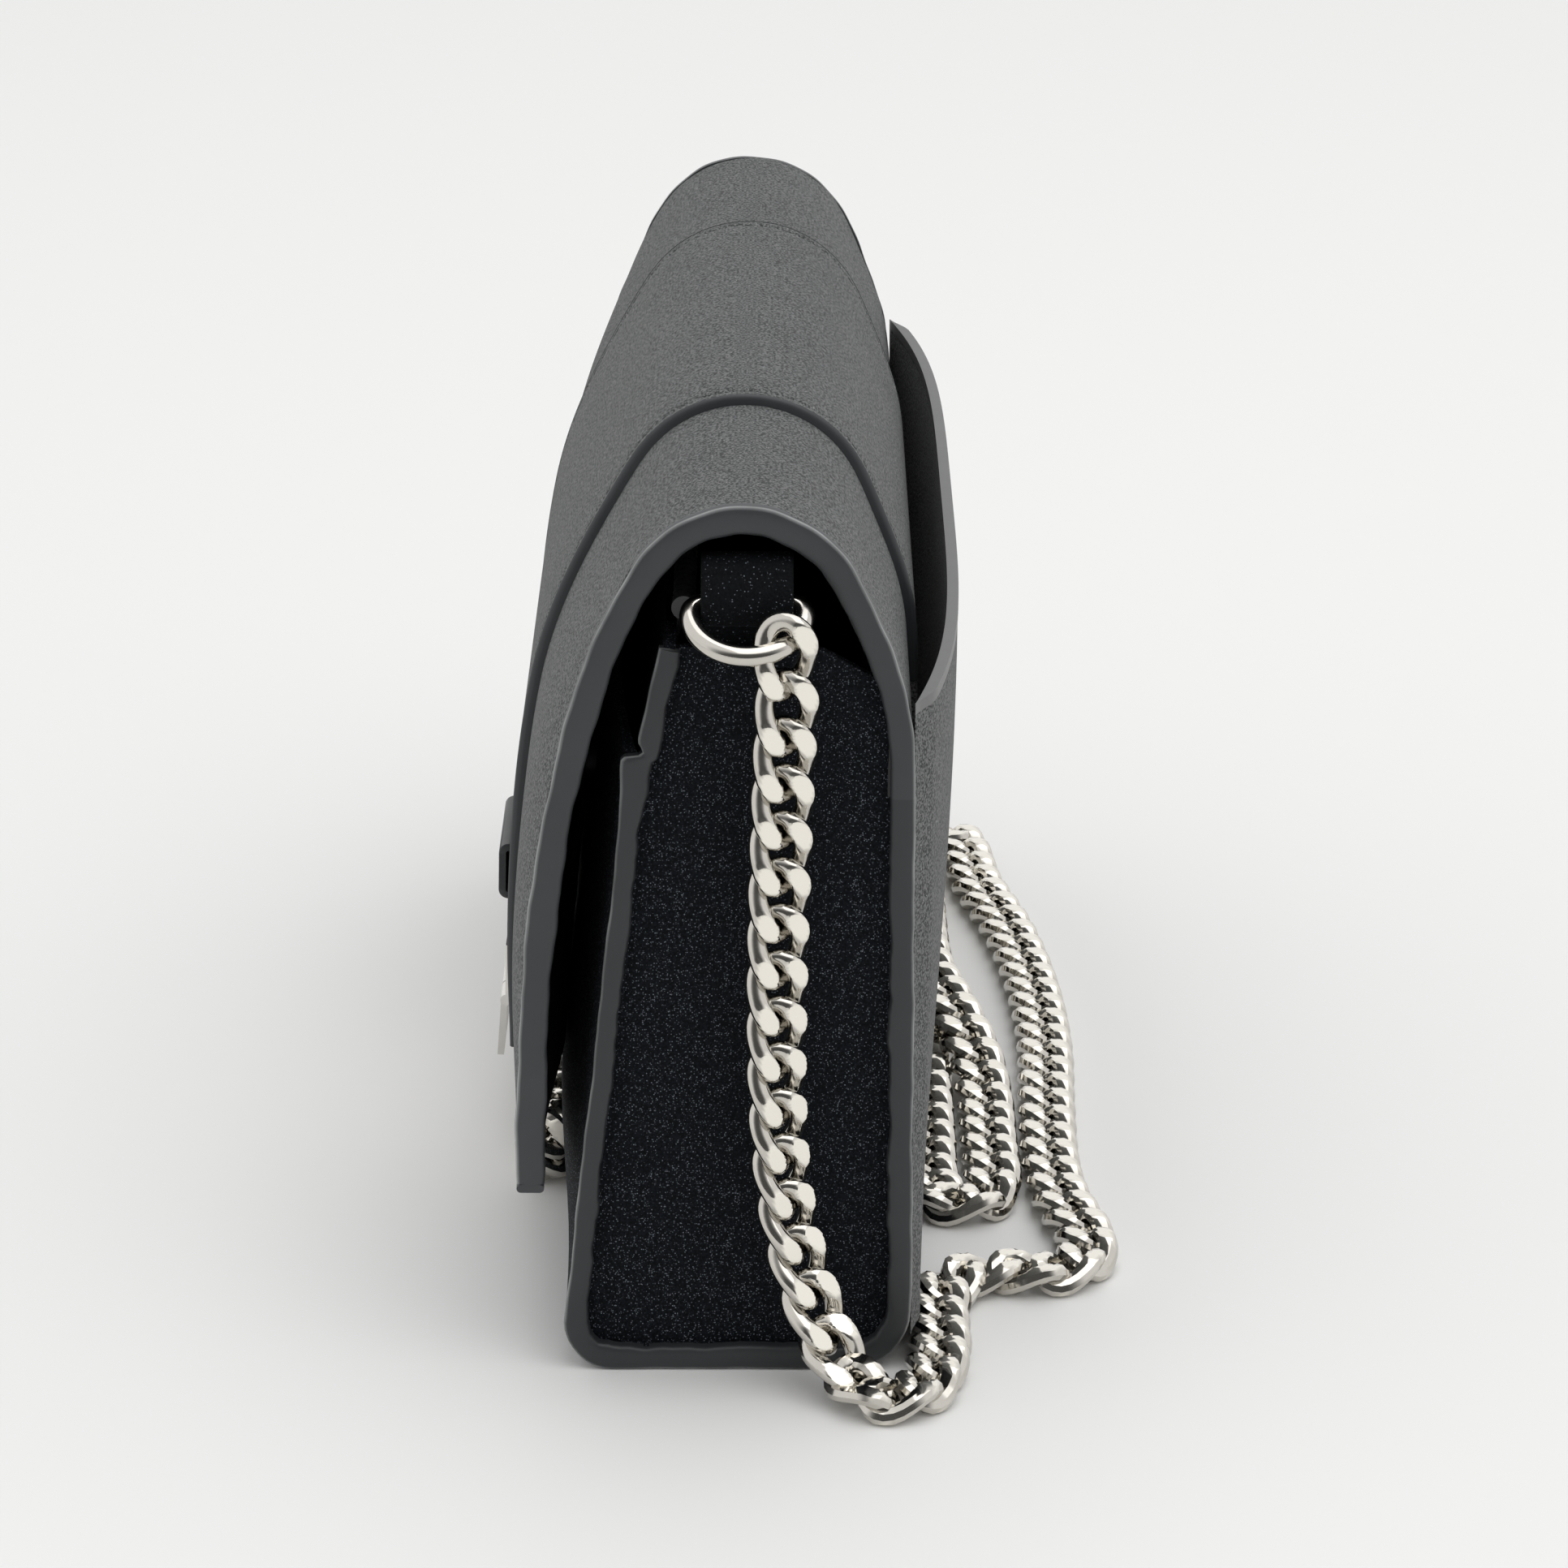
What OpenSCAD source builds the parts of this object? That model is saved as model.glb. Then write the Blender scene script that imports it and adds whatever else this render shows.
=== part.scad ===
// Small flap shoulder bag on a curb chain strap, as an assembly of its sewn and metal pieces.
// Millimetres. X runs along the bag, -Y is the front, +Z is up, and the origin is the middle
// of the base on the floor that the bag stands on.

/* [Body] */
// Length of the bag, end to end
bag_length = 210; // [190:1:230]
// Height to the top of the flap's arch
bag_height = 128; // [118:1:140]
// Depth of the base, front foot to back wall
base_depth = 50; // [48:0.5:56]
// Thickness of the front wall, leather and board together
wall = 1.6; // [1.2:0.1:2.0]
// Thickness of the slip-pocket panels
panel = 1.5; // [1.2:0.1:1.7]
// Radius of the front lower corner
front_corner = 7; // [5:0.5:8]
// Radius of the back lower corner
back_corner = 9; // [6:0.5:10]
// How far the front pocket panel leans back over its height
front_lean = 10.6; // [9:0.1:12]
// How far the front wall's top edge lies behind the front foot
mouth_setback = 15.6; // [14.5:0.1:17]
// Drop from the flap's top to the front wall's top edge
mouth_drop = 20; // [19:0.5:23]
// Height of the front wall that shows above the front pocket
front_reveal = 16; // [12:0.5:20]
// How far the end panels lie inside the ends of the walls
gusset_recess = 2.8; // [2.6:0.1:4]
// Thickness of the end panels
gusset_wall = 1.6; // [1.2:0.1:1.8]
// Drop from the flap's top to the end panels' top edge
gusset_drop = 25; // [25:0.5:28]
// Width of the painted edge along the ends, measured along the bag
edge_width = 1.2; // [0.8:0.1:2]

/* [Inside] */
// Thickness of the base board
board = 1.6; // [1:0.1:2.4]
// Thickness of the lining
lining_wall = 0.8; // [0.5:0.1:1.2]
// Width of the inner slip pocket
inner_pocket_w = 120; // [80:1:150]
// Height of the inner slip pocket
inner_pocket_h = 50; // [30:1:65]
// Drop from the lining's top edge to the inner slip pocket
inner_pocket_drop = 6; // [4:0.5:15]
// Gap round the base board
board_clear = 2; // [1:0.5:4]

/* [Pockets] */
// How far the front pocket panel swells in the middle
front_bulge = 2.6; // [1:0.1:2.6]
// Height above the base over which the front pocket fills out
front_fill = 24; // [15:1:45]
// How far the back pocket's mouth stands off the back wall
pocket_bulge = 6.2; // [5.8:0.1:7]
// Drop from the flap's top to the back pocket's mouth
pocket_drop = 28.5; // [27:0.5:32]
// Height of the back pocket's lower seam
pocket_seam_z = 10; // [9:0.5:14]
// Length of the band's tail inside the back pocket
tail_h = 45; // [20:1:70]
// Depth of the painted edge along the pocket's mouth
pocket_edge = 1.6; // [1:0.1:2.5]

/* [Flap] */
// Thickness of the flap's outer leather
flap_leather = 2.2; // [1.6:0.1:2.4]
// Thickness of the flap's lining
flap_lining_t = 1.5; // [1:0.1:1.7]
// Radius of the arch over the top
arch_r = 17.7; // [17:0.1:18.5]
// How far the arch's centre lies behind the base's centre
arch_y = 1.4; // [0.8:0.1:2]
// Height of the flap's front edge above the base
flap_tip_z = 28.5; // [26:0.5:34]
// How far the flap's front edge stands in front of the front foot
flap_stand = 5.6; // [5:0.1:8]
// How far the flap's front swells in the middle of its length
flap_fullness = 3; // [1.5:0.1:4]
// How much of that swell is left at the front edge
hem_fullness = 2.2; // [0.8:0.1:3]
// Radius of the fold that the flap turns on
fold_r = 2; // [1.6:0.1:2.2]
// Thickness of the flap's layers where they meet the fold
fold_t = 2; // [1.6:0.1:2.4]
// How far the fold lies inside the back face
fold_inset = 0.4; // [0.3:0.1:0.8]
// Drop from the centre of the arch to the fold
fold_drop = 2.9; // [2.5:0.1:3.5]
// Gap between the fold and the back wall's top edge
fold_gap = 0.8; // [0.5:0.1:1.2]
// Width of the band round the middle of the flap
band_w = 105; // [80:1:130]
// Thickness of the band
band_t = 1.5; // [1:0.1:2]
// Depth of the painted edge along the flap's front
hem = 1.2; // [0.8:0.1:2]

/* [Front hardware] */
// Width of the metal clasp
clasp_w = 60; // [40:1:70]
// Height of the clasp's fixed plate
clasp_h = 9; // [8:0.5:11]
// Thickness of the clasp's plates
clasp_t = 1; // [0.8:0.1:1.3]
// Radius of the clasp's hinge pin
pin_r = 0.5; // [0.4:0.05:0.7]
// Thickness of the clasp's knuckles round their pin
knuckle_wall = 0.4; // [0.3:0.05:0.8]
// Length of the plate's knuckle at each end of the pin
knuckle_w = 6; // [4:0.5:9]
// Height of the clasp's lever below its pin
lever_h = 11.5; // [8:0.5:13]
// Outward flare of the lever, degrees
lever_flare = 3; // [0:1:8]
// Length of the leather loop, along the bag
loop_w = 23; // [16:1:40]
// Height of the leather loop
loop_h = 9; // [7.5:0.5:11]
// Depth of the leather loop, off the band
loop_d = 3.6; // [3:0.1:4]
// Thickness of the loop's leather
loop_t = 1.1; // [0.8:0.1:1.3]
// How far the clasp's hinge lies below the flap's leather
clasp_drop = 1.4; // [0:0.1:2]
// Distance along the flap between the loop and the clasp
loop_gap = 0.7; // [0.5:0.1:3]
// Radius of the snap halves
snap_r = 8; // [6:0.5:9]
// Thickness of each snap half
snap_t = 2.4; // [1.8:0.1:2.6]
// Radius of the stud on the snap's lower half
stud_r = 2.8; // [2:0.1:3.5]
// Height of the stud
stud_h = 0.6; // [0.4:0.1:0.8]
// Gap round the stud in the snap's upper half
socket_play = 1.4; // [1:0.1:2]
// Depth of the flap snap's socket beyond the stud
socket_deep = 0.4; // [0.3:0.1:0.6]

/* [Zip] */
// Radius of the zip's coil
coil_r = 1.3; // [1:0.1:1.6]
// Thickness of the zip's tape
tape_t = 0.6; // [0.4:0.1:0.8]
// Height of the zip's tape
tape_h = 9; // [7:0.5:11]
// Length of tape left free at each end of the zip
zip_clear = 4; // [3:0.5:8]
// Drop from the back wall's top edge to the back coil
back_coil_drop = 3.2; // [2.5:0.1:5]
// Length of the slider
slider_l = 10; // [8:0.5:13]
// Width of the slider
slider_w = 6.4; // [5.6:0.1:7]
// Thickness of the slider's metal round the coil
slider_plate = 0.65; // [0.5:0.05:0.8]
// Length of the pull
pull_l = 12; // [10:0.5:18]
// Width of the pull
pull_w = 4.4; // [3.6:0.1:6]
// Thickness of the pull
pull_t = 1; // [0.8:0.1:1.4]
// Length of the stops at the zip's ends
stop_l = 2; // [1:0.5:3]

/* [Strap] */
// Radius of the rings' wire
ring_wire = 1.5; // [1.2:0.05:1.6]
// Radius of the rings' bow, at the middle of the wire
ring_bow = 8.1; // [8.1:0.1:8.6]
// Straight drop of the rings between their bar and their bow
ring_leg = 1.6; // [1.2:0.1:2.4]
// Outward lean of the rings as they hang, degrees
ring_tilt = 58; // [52:1:64]
// Where the rings and their tabs sit, behind the base's centre
ring_y = 2; // [1:0.1:3]
// Width of the ring tabs
tab_w = 12.6; // [9:0.1:12.6]
// Thickness of the ring tabs' leather
tab_t = 1.6; // [1.2:0.1:1.8]
// Height of the rings' bars above the end panels' top
bar_rise = 11; // [10:0.5:13]
// How far the bars lie inside the bag's ends
bar_inset = 1; // [0.5:0.1:1.5]
// Height of the ring tabs above the bars
tab_rise = 6.6; // [5.5:0.1:8]
// Length of the ring tabs sewn below the end panels' top
tab_sewn = 8; // [5:0.5:14]
// How far round the rings' bow the end links hang, degrees
link_swing = 36; // [20:1:42]
// Radius of an end link, at the middle of its wire
link_bow = 3.6; // [3.4:0.05:4]
// Radius of an end link's wire
link_wire = 1.15; // [1:0.05:1.2]
// Width of the curb chain
chain_w = 8.8; // [7:0.1:9]
// Thickness of the curb chain
chain_t = 4.4; // [3:0.1:4.6]

/* [Hidden] */

// Gap that sewn pieces of different bodies, or curved neighbours, keep
seat = 0.3;
// Radial clearance of a pin or bar that turns in a bore
running = 0.06;
// Straight pieces that stand for a rounded corner
corner_steps = 6;
// Straight pieces in the flap's arch and in its front
arch_steps = 10;
front_steps = 8;
$fn = 48;

half = bag_length / 2;
sewn = half - edge_width;
front = -base_depth / 2;
back = base_depth / 2;
strip = panel + wall;
front_top = bag_height - mouth_drop;
pocket_top = front_top - front_reveal;
gusset_top = bag_height - gusset_drop;
gusset_x = half - gusset_recess;
mouth_z = bag_height - pocket_drop;
fold_y = back - fold_r - fold_inset;
fold_z = bag_height - arch_r - fold_drop;
back_top = fold_z - fold_r - fold_gap;
flap_t = flap_leather + flap_lining_t;

// Places along the bag where the soft panels change their swell
soft_x = [-1, -0.9, -0.78, -0.65, -0.5, -0.28, 0, 0.28, 0.5, 0.65, 0.78, 0.9, 1] * sewn;
band_x = [-1, -0.57, 0, 0.57, 1] * band_w / 2;
flap_x = [
  -sewn, -sewn * 0.9, -sewn * 0.78, -(sewn * 0.3 + band_w * 0.35), each band_x,
  sewn * 0.3 + band_w * 0.35, sewn * 0.78, sewn * 0.9, sewn
];

function reverse(list) = [for (i = [len(list) - 1:-1:0]) list[i]];
function unit(v) = v / norm(v);
function mix(a, b, t) = a + (b - a) * t;
function smooth(t) = let (c = max(0, min(1, t))) c * c * (3 - 2 * c);
function arc(cy, cz, r, from, to, steps) = [
  for (i = [0:steps]) let (a = mix(from, to, i / steps)) [cy + r * cos(a), cz + r * sin(a)]
];

// Outer line of the front at a height: the pocket panel below, the bare wall above it
function front_y(z) = z <= pocket_top
  ? front + front_lean * z / pocket_top
  : mix(front + front_lean, front + mouth_setback - panel, (z - pocket_top) / front_reveal);

// Front, base and back of the body as one line, a distance inside the outer faces
function front_corner_line(d) =
  arc(front_y(front_corner) + front_corner, front_corner, front_corner - d, 180, 270, corner_steps);
function back_corner_line(d) = arc(back - back_corner, back_corner, back_corner - d, 270, 360, corner_steps);
function base_line(d) = concat(front_corner_line(d), back_corner_line(d));
function body_line(d, top) = concat(
  [[front_y(top) + d, top]],
  top > pocket_top ? [[front_y(pocket_top) + d, pocket_top]] : [],
  base_line(d), [[back - d, min(top, back_top)]]
);

// A profile in Y and Z carried along X between two places
module along_x(from, to) {
  translate([from, 0, 0]) rotate([90, 0, 90]) linear_extrude(height = to - from) children();
}

module mirrored() {
  mirror([1, 0, 0]) children();
}

// A panel between two skins, each a function of the place along the bag and the step across it
function grid_points(xs, n, skin) = [for (x = xs) for (k = [0:n]) skin(x, k)];
function grid_faces(rows, cols, start, flip) = [
  for (i = [0:rows - 2]) for (j = [0:cols - 2])
    let (a = start + i * cols + j, b = a + 1, c = a + cols, d = c + 1)
    each flip ? [[a, b, d], [a, d, c]] : [[a, d, b], [a, c, d]]
];
function rim_faces(line, shift) = [
  for (i = [0:len(line) - 2])
    each [[line[i], line[i + 1], line[i + 1] + shift], [line[i], line[i + 1] + shift, line[i] + shift]]
];
module soft_panel(xs, n, outer, inner) {
  rows = len(xs);
  cols = n + 1;
  count = rows * cols;
  rim = concat(
    [for (j = [0:cols - 1]) j],
    [for (i = [1:rows - 1]) i * cols + cols - 1],
    [for (j = [cols - 2:-1:0]) (rows - 1) * cols + j],
    [for (i = [rows - 2:-1:0]) i * cols]
  );
  polyhedron(
    points = concat(grid_points(xs, n, outer), grid_points(xs, n, inner)),
    faces = concat(
      grid_faces(rows, cols, 0, false), grid_faces(rows, cols, count, true), rim_faces(rim, count)
    ),
    convexity = 8
  );
}

// The flap's outer line in Y and Z, from the fold over the arch to the front edge
arch_z = bag_height - arch_r;
arch_back = 20;
arch_front = 30;
front_start = [arch_y - arch_r * cos(arch_front), arch_z + arch_r * sin(arch_front)];
front_tip = [front - flap_stand, flap_tip_z];
front_pull_out = 1;
front_pull_down = 0.32;
front_pull = [
  mix(front_start[0], front_tip[0], front_pull_out), mix(front_start[1], front_tip[1], front_pull_down)
];
function front_curve(t) =
  (1 - t) * (1 - t) * front_start + 2 * t * (1 - t) * front_pull + t * t * front_tip;
half_turn = 180;
arch_line = arc(arch_y, arch_z, arch_r, arch_back, half_turn - arch_front, arch_steps);
fold_dir = unit(arch_line[0] - [fold_y, fold_z]);
fold_out = [fold_dir[1], -fold_dir[0]];
flap_line = concat(
  [[fold_y, fold_z] + fold_dir * (fold_r + seat) + fold_out * fold_t / 2],
  arch_line,
  [for (i = [1:front_steps]) front_curve(i / front_steps)]
);
flap_steps = len(flap_line) - 1;
function flap_dir(k) = unit(flap_line[min(k + 1, flap_steps)] - flap_line[max(k - 1, 0)]);
function flap_in(k) = let (d = flap_dir(k)) [-d[1], d[0]];
swell_top = 0.45;
function swell(x, k) =
  let (t = (k - arch_steps - 1) / front_steps, fade = smooth((t - swell_top) / (1 - swell_top)))
  mix(flap_fullness, hem_fullness, fade) * (1 - pow(abs(x) / sewn, 3)) * smooth(t / swell_top);
// At the fold the layers draw together so that they clear the back wall as the flap turns
function drawn_in(k) = k == 0 ? fold_t / flap_t : 1;
function flap_point(x, k, depth) =
  let (p = flap_line[k] + flap_in(k) * depth * drawn_in(k)) [x, p[0] - swell(x, k), p[1]];

module flap_layer(xs, first, last, depth_out, depth_in) {
  soft_panel(
    xs, last - first,
    function(x, k) flap_point(x, k + first, depth_out),
    function(x, k) flap_point(x, k + first, depth_in)
  );
}

// Where the flap's front hardware sits: a plane on the band's face, square to the flap's lower front
hem_out = flap_point(0, flap_steps, -band_t);
hem_up = flap_point(0, flap_steps - 2, -band_t);
face_angle = atan2(hem_up[1] - hem_out[1], hem_up[2] - hem_out[2]);
module on_flap_face(up) {
  translate(hem_out) rotate([-face_angle, 0, 0]) translate([0, -seat, up]) children();
}

// The snap's halves face each other across the gap between the flap and the front pocket
snap_step = flap_steps - 2;
snap_face = flap_point(0, snap_step, flap_t);
snap_below = flap_point(0, snap_step + 1, flap_t);
snap_lean = atan2(snap_face[1] - snap_below[1], snap_face[2] - snap_below[2]);
front_angle = atan2(front_lean, pocket_top);

// Swell of the back pocket: full along the middle of the mouth, sewn flat at the ends and the seam
pocket_z = [0, 0.08, 0.25, 0.42, 0.7, 1] * (mouth_z - pocket_edge - pocket_seam_z);
pocket_steps = len(pocket_z) - 1;
function pocket_rise(z) = min(1, (z - pocket_seam_z) / (mouth_z - pocket_seam_z));
function pocket_swell(x, z) = pocket_bulge * (1 - pow(abs(x) / sewn, 4)) * sin(90 * pocket_rise(z));
function pocket_point(x, z, out) = [x, back + pocket_swell(x, z) + out, z];

// Swell of the front pocket: sewn flat at the ends and the base, full from a little above the base
front_pocket_steps = 6;
function front_pocket_z(k) = mix(pocket_top, front_corner, k / front_pocket_steps);
function front_swell(x, z) =
  front_bulge * (1 - pow(abs(x) / sewn, 4)) * smooth((z - front_corner) / front_fill);
function front_pocket_point(x, k, depth) =
  let (z = front_pocket_z(k)) [x, front_y(z) + depth - front_swell(x, z), z];

// The zip's tapes lean with the front wall's top and stand upright on the back wall
tape_lean = atan2(mouth_setback - panel - front_lean, front_reveal);
slider_play = 0.35;
slider_h = 2 * (coil_r + slider_play + slider_plate);
slider_foot = slider_h / 2 + slider_w / 2 * tan(tape_lean);
tape_foot_z = front_top + seat + (slider_foot - tape_h - coil_r) * cos(tape_lean);
front_tape_foot = [front_y(tape_foot_z) + strip, tape_foot_z];
coil_at = front_tape_foot + [sin(tape_lean), cos(tape_lean)] * (tape_h + coil_r)
  + [cos(tape_lean), -sin(tape_lean)] * tape_t / 2;
back_coil_at = [back - strip - tape_t / 2, back_top - back_coil_drop];
lining_top = min(tape_foot_z, back_coil_at[1] - coil_r - tape_h) - seat;
zip_half = gusset_x - gusset_wall - tab_t - zip_clear;
slider_x = -zip_half + slider_l / 2 + zip_clear;
eye_r = 0.5;
eye_wall = 0.7;
pull_z = slider_h / 2 + seat + eye_r + eye_wall;
pull_barrel = 2.4;
ear_w = 1;
module on_slider() {
  translate([slider_x, coil_at[0], coil_at[1]]) rotate([-tape_lean, 0, 0]) children();
}

// The rings hang from bars in the tabs' folds, and each end link hangs on its ring's bow
bar_x = half - bar_inset;
bar_z = gusset_top + bar_rise;
tab_fold = ring_wire + running + tab_t;
tab_top = bar_z + tab_rise;
tab_back = gusset_x - gusset_wall;
link_hang = ring_bow + link_bow - link_wire - ring_wire - seat;

// The chain strap's route, ring to ring: each place, and the way that the chain's flat side faces there
up = [0, 0, 1];
right_hang = [
  [[110.2, 7.8, 103.8], [1, 0.2, 0]], [[109.4, 7.4, 92], [1, 0.25, 0]], [[108.7, 6.9, 75], [1, 0.3, 0]],
  [[108.4, 6.5, 58], [1, 0.5, 0]], [[108.4, 6.6, 42], [1, 0.75, 0]], [[108.6, 7.6, 28], [1, 0.9, 0.1]],
  [[109.6, 10.2, 16], [1, 0.8, 0.4]], [[112.8, 13.8, 7], [0.6, 0.3, 0.8]], [[118, 18, 2.5], up]
];
behind = [
  [121.5, 23, 2.4], [119, 28, 2.4], [111, 30, 2.4], [101, 29.6, 2.4], [92, 29.2, 2.4], [84, 30, 2.4],
  [78, 33.5, 2.4], [76, 40, 2.4], [78, 47, 2.4], [75, 53, 2.4], [67, 55, 2.4], [58, 52.5, 2.4],
  [50, 49, 2.4], [38, 48, 2.4], [14, 48.2, 2.4], [-14, 49, 2.4], [-40, 48, 2.4], [-66, 45, 2.4],
  [-92, 40, 2.4], [-106, 38.8, 2.4], [-112.6, 37, 2.4], [-114.4, 34, 2.4], [-112.6, 31, 2.4],
  [-106, 29.4, 2.4], [-90, 29.2, 2.4], [-50, 29.2, 2.4], [-10, 29.2, 2.4], [28, 29.2, 2.4],
  [44, 29.4, 2.4], [50.6, 31, 2.4], [52.6, 34, 2.4], [50.6, 37, 2.4], [44, 38.6, 2.4],
  [28, 38.6, 2.4], [10, 38.6, 2.6], [-4, 37.4, 4.6], [-18, 34, 7.2], [-34, 30.8, 7.4],
  [-60, 29.8, 7.4], [-100, 29.8, 7.4], [-114, 28.4, 7.2], [-126, 24, 4], [-133, 14, 2.4],
  [-134.5, 0, 2.4], [-130, -14, 2.4], [-119, -25, 2.4], [-104, -29.4, 2.4], [-84, -29.6, 2.4],
  [-44, -29.6, 2.4], [-4, -29.6, 2.4], [24, -29.6, 2.4], [36, -29.6, 2.4]
];
in_front = [
  [36, -29.6, 7.4], [24, -29.6, 7.4], [-4, -29.6, 7.4], [-44, -29.6, 7.4], [-84, -29.6, 7.4],
  [-108, -30, 7.4], [-115.5, -23, 6.9], [-118, -14, 5], [-119.5, -4, 2.8], [-121, 7, 2.4]
];
left_hang = [
  for (p = reverse(right_hang)) [[-p[0][0], p[0][1], p[0][2]], [p[1][0], -p[1][1], -p[1][2]]]
];
strap = concat(
  right_hang, [for (p = behind) [p, up]], [[[39.6, -29.6, 4.9], [-1, 0, 0]]],
  [for (p = in_front) [p, -up]], left_hang
);
right_foot = len(right_hang) - 1;
left_foot = len(strap) - len(left_hang);

chain_sides = 8;
function strap_dir(i) = unit(strap[min(i + 1, len(strap) - 1)][0] - strap[max(i - 1, 0)][0]);
module chain(first, last) {
  rings = last - first + 1;
  points = [
    for (i = [first:last])
      let (t = strap_dir(i), side = unit(cross(t, strap[i][1])), face = cross(side, t))
      for (j = [0:chain_sides - 1])
        let (a = 360 * (j + 0.5) / chain_sides)
        strap[i][0] + (side * chain_w * cos(a) + face * chain_t * sin(a)) / (2 * cos(180 / chain_sides))
  ];
  faces = concat(
    [[for (j = [0:chain_sides - 1]) j]],
    [[for (j = [chain_sides - 1:-1:0]) (rings - 1) * chain_sides + j]],
    [
      for (i = [0:rings - 2]) for (j = [0:chain_sides - 1])
        let (a = i * chain_sides + j, b = i * chain_sides + (j + 1) % chain_sides)
        each [[a, a + chain_sides, b], [b, a + chain_sides, b + chain_sides]]
    ]
  );
  polyhedron(points = points, faces = faces, convexity = 10);
}

module front_wall() {
  color("#1b1c1f") along_x(-sewn, sewn) polygon([
    [front_y(front_top) + panel, front_top], [front_y(pocket_top) + panel, pocket_top],
    [front_y(front_corner) + panel, front_corner], [front_y(front_corner) + strip, front_corner],
    [front_y(pocket_top) + strip, pocket_top], [front_y(front_top) + strip, front_top]
  ]);
}

module back_wall() {
  color("#232427") along_x(-sewn, sewn)
    translate([back - strip, back_corner]) square([strip, back_top - back_corner]);
}

module base_panel() {
  color("#1b1c1f") along_x(-sewn, sewn) polygon(concat(base_line(0), reverse(base_line(strip))));
}

module right_gusset() {
  line = body_line(strip, gusset_top);
  color("#101114") along_x(tab_back, gusset_x) polygon(line);
}

module left_gusset() {
  mirrored() right_gusset();
}

// The painted edge that shows as a strip round each end of the body
module right_body_edge() {
  outer = concat(
    [[front_y(front_top) + panel, front_top], [front_y(pocket_top) + panel, pocket_top]],
    [[front_y(pocket_top), pocket_top]], base_line(0), [[back, back_top]]
  );
  color("#2a2c30") along_x(sewn, half) polygon(concat(outer, reverse(body_line(strip, front_top))));
}

module left_body_edge() {
  mirrored() right_body_edge();
}

module front_pocket_panel() {
  color("#232427") soft_panel(
    soft_x, front_pocket_steps,
    function(x, k) front_pocket_point(x, k, 0), function(x, k) front_pocket_point(x, k, panel)
  );
}

module back_pocket_panel() {
  color("#232427") soft_panel(
    soft_x, pocket_steps,
    function(x, k) pocket_point(x, pocket_seam_z + pocket_z[k], 0),
    function(x, k) pocket_point(x, pocket_seam_z + pocket_z[k], panel)
  );
}

module back_pocket_edge() {
  color("#2a2c30") soft_panel(
    soft_x, 1,
    function(x, k) pocket_point(x, mouth_z - pocket_edge * (1 - k), 0),
    function(x, k) pocket_point(x, mouth_z - pocket_edge * (1 - k), panel)
  );
}

module base_board() {
  color("#8a7a62") translate([board_clear - tab_back, front_y(front_corner) + front_corner, strip])
    cube([2 * (tab_back - board_clear), back - back_corner - front_y(front_corner) - front_corner, board]);
}

module body_lining() {
  skin = function(d, low) [for (p = body_line(d, lining_top)) [p[0], min(max(p[1], low), lining_top)]];
  outer = skin(strip + seat, strip + board);
  inner = skin(strip + seat + lining_wall, strip + board + lining_wall);
  reach = tab_back - tab_t - seat;
  color("#3a3b40") along_x(-reach, reach) polygon(concat(outer, reverse(inner)));
}

module inner_pocket() {
  face_y = back - strip - seat - 2 * lining_wall;
  foot_z = lining_top - inner_pocket_drop - inner_pocket_h;
  color("#34353a") translate([-inner_pocket_w / 2, face_y, foot_z])
    cube([inner_pocket_w, lining_wall, inner_pocket_h]);
}

// The lower end of the band, sewn to the back wall inside the back pocket
module band_tail() {
  color("#26272a") translate([-band_w / 2, back, mouth_z - tail_h])
    cube([band_w, band_t, back_top - mouth_z + tail_h]);
}

module body_snap() {
  z = snap_face[2];
  color("silver") translate([0, front_y(z) - front_swell(0, z), z]) rotate([90 - front_angle, 0, 0])
    translate([0, 0, seat]) union() {
      cylinder(r = snap_r, h = snap_t);
      cylinder(r = stud_r, h = snap_t + stud_h);
    }
}

module front_zip_tape() {
  color("#0c0c0d") along_x(-zip_half, zip_half) translate(front_tape_foot) rotate(-tape_lean)
    square([tape_t, tape_h]);
}

module back_zip_tape() {
  color("#0c0c0d") along_x(-zip_half, zip_half)
    translate([back - strip - tape_t, back_coil_at[1] - coil_r - tape_h]) square([tape_t, tape_h]);
}

module front_zip_coil() {
  color("#0c0c0d") along_x(-zip_half, zip_half) translate(coil_at) circle(r = coil_r);
}

module back_zip_coil() {
  color("#0c0c0d") along_x(-zip_half, zip_half) translate(back_coil_at - [coil_r - tape_t / 2, 0])
    circle(r = coil_r);
}

module zip_stops() {
  stop_proud = 0.4;
  color("#17181a") for (x = [-zip_half - stop_l, zip_half])
    along_x(x, x + stop_l) translate(coil_at) circle(r = coil_r + stop_proud);
}

// The slider grips the coil from both sides and carries the pull's pin between two ears
module zip_slider() {
  ear_h = pull_z - slider_h / 2 + eye_r + eye_wall;
  color("silver") union() {
    along_x(slider_x - slider_l / 2, slider_x + slider_l / 2)
      translate(coil_at) rotate(-tape_lean) difference() {
        translate([-slider_w / 2, -slider_h / 2]) square([slider_w, slider_h]);
        circle(r = coil_r + slider_play);
        translate([-tape_t / 2 - slider_play, -slider_h]) square([tape_t + 2 * slider_play, slider_h]);
      }
    on_slider() {
      for (y = [-pull_barrel / 2 - seat - ear_w, pull_barrel / 2 + seat])
        translate([-eye_r - eye_wall, y, slider_h / 2]) cube([2 * (eye_r + eye_wall), ear_w, ear_h]);
      translate([0, 0, pull_z]) rotate([90, 0, 0])
        cylinder(r = eye_r, h = pull_barrel + 2 * (seat + ear_w), center = true);
    }
  }
}

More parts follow.
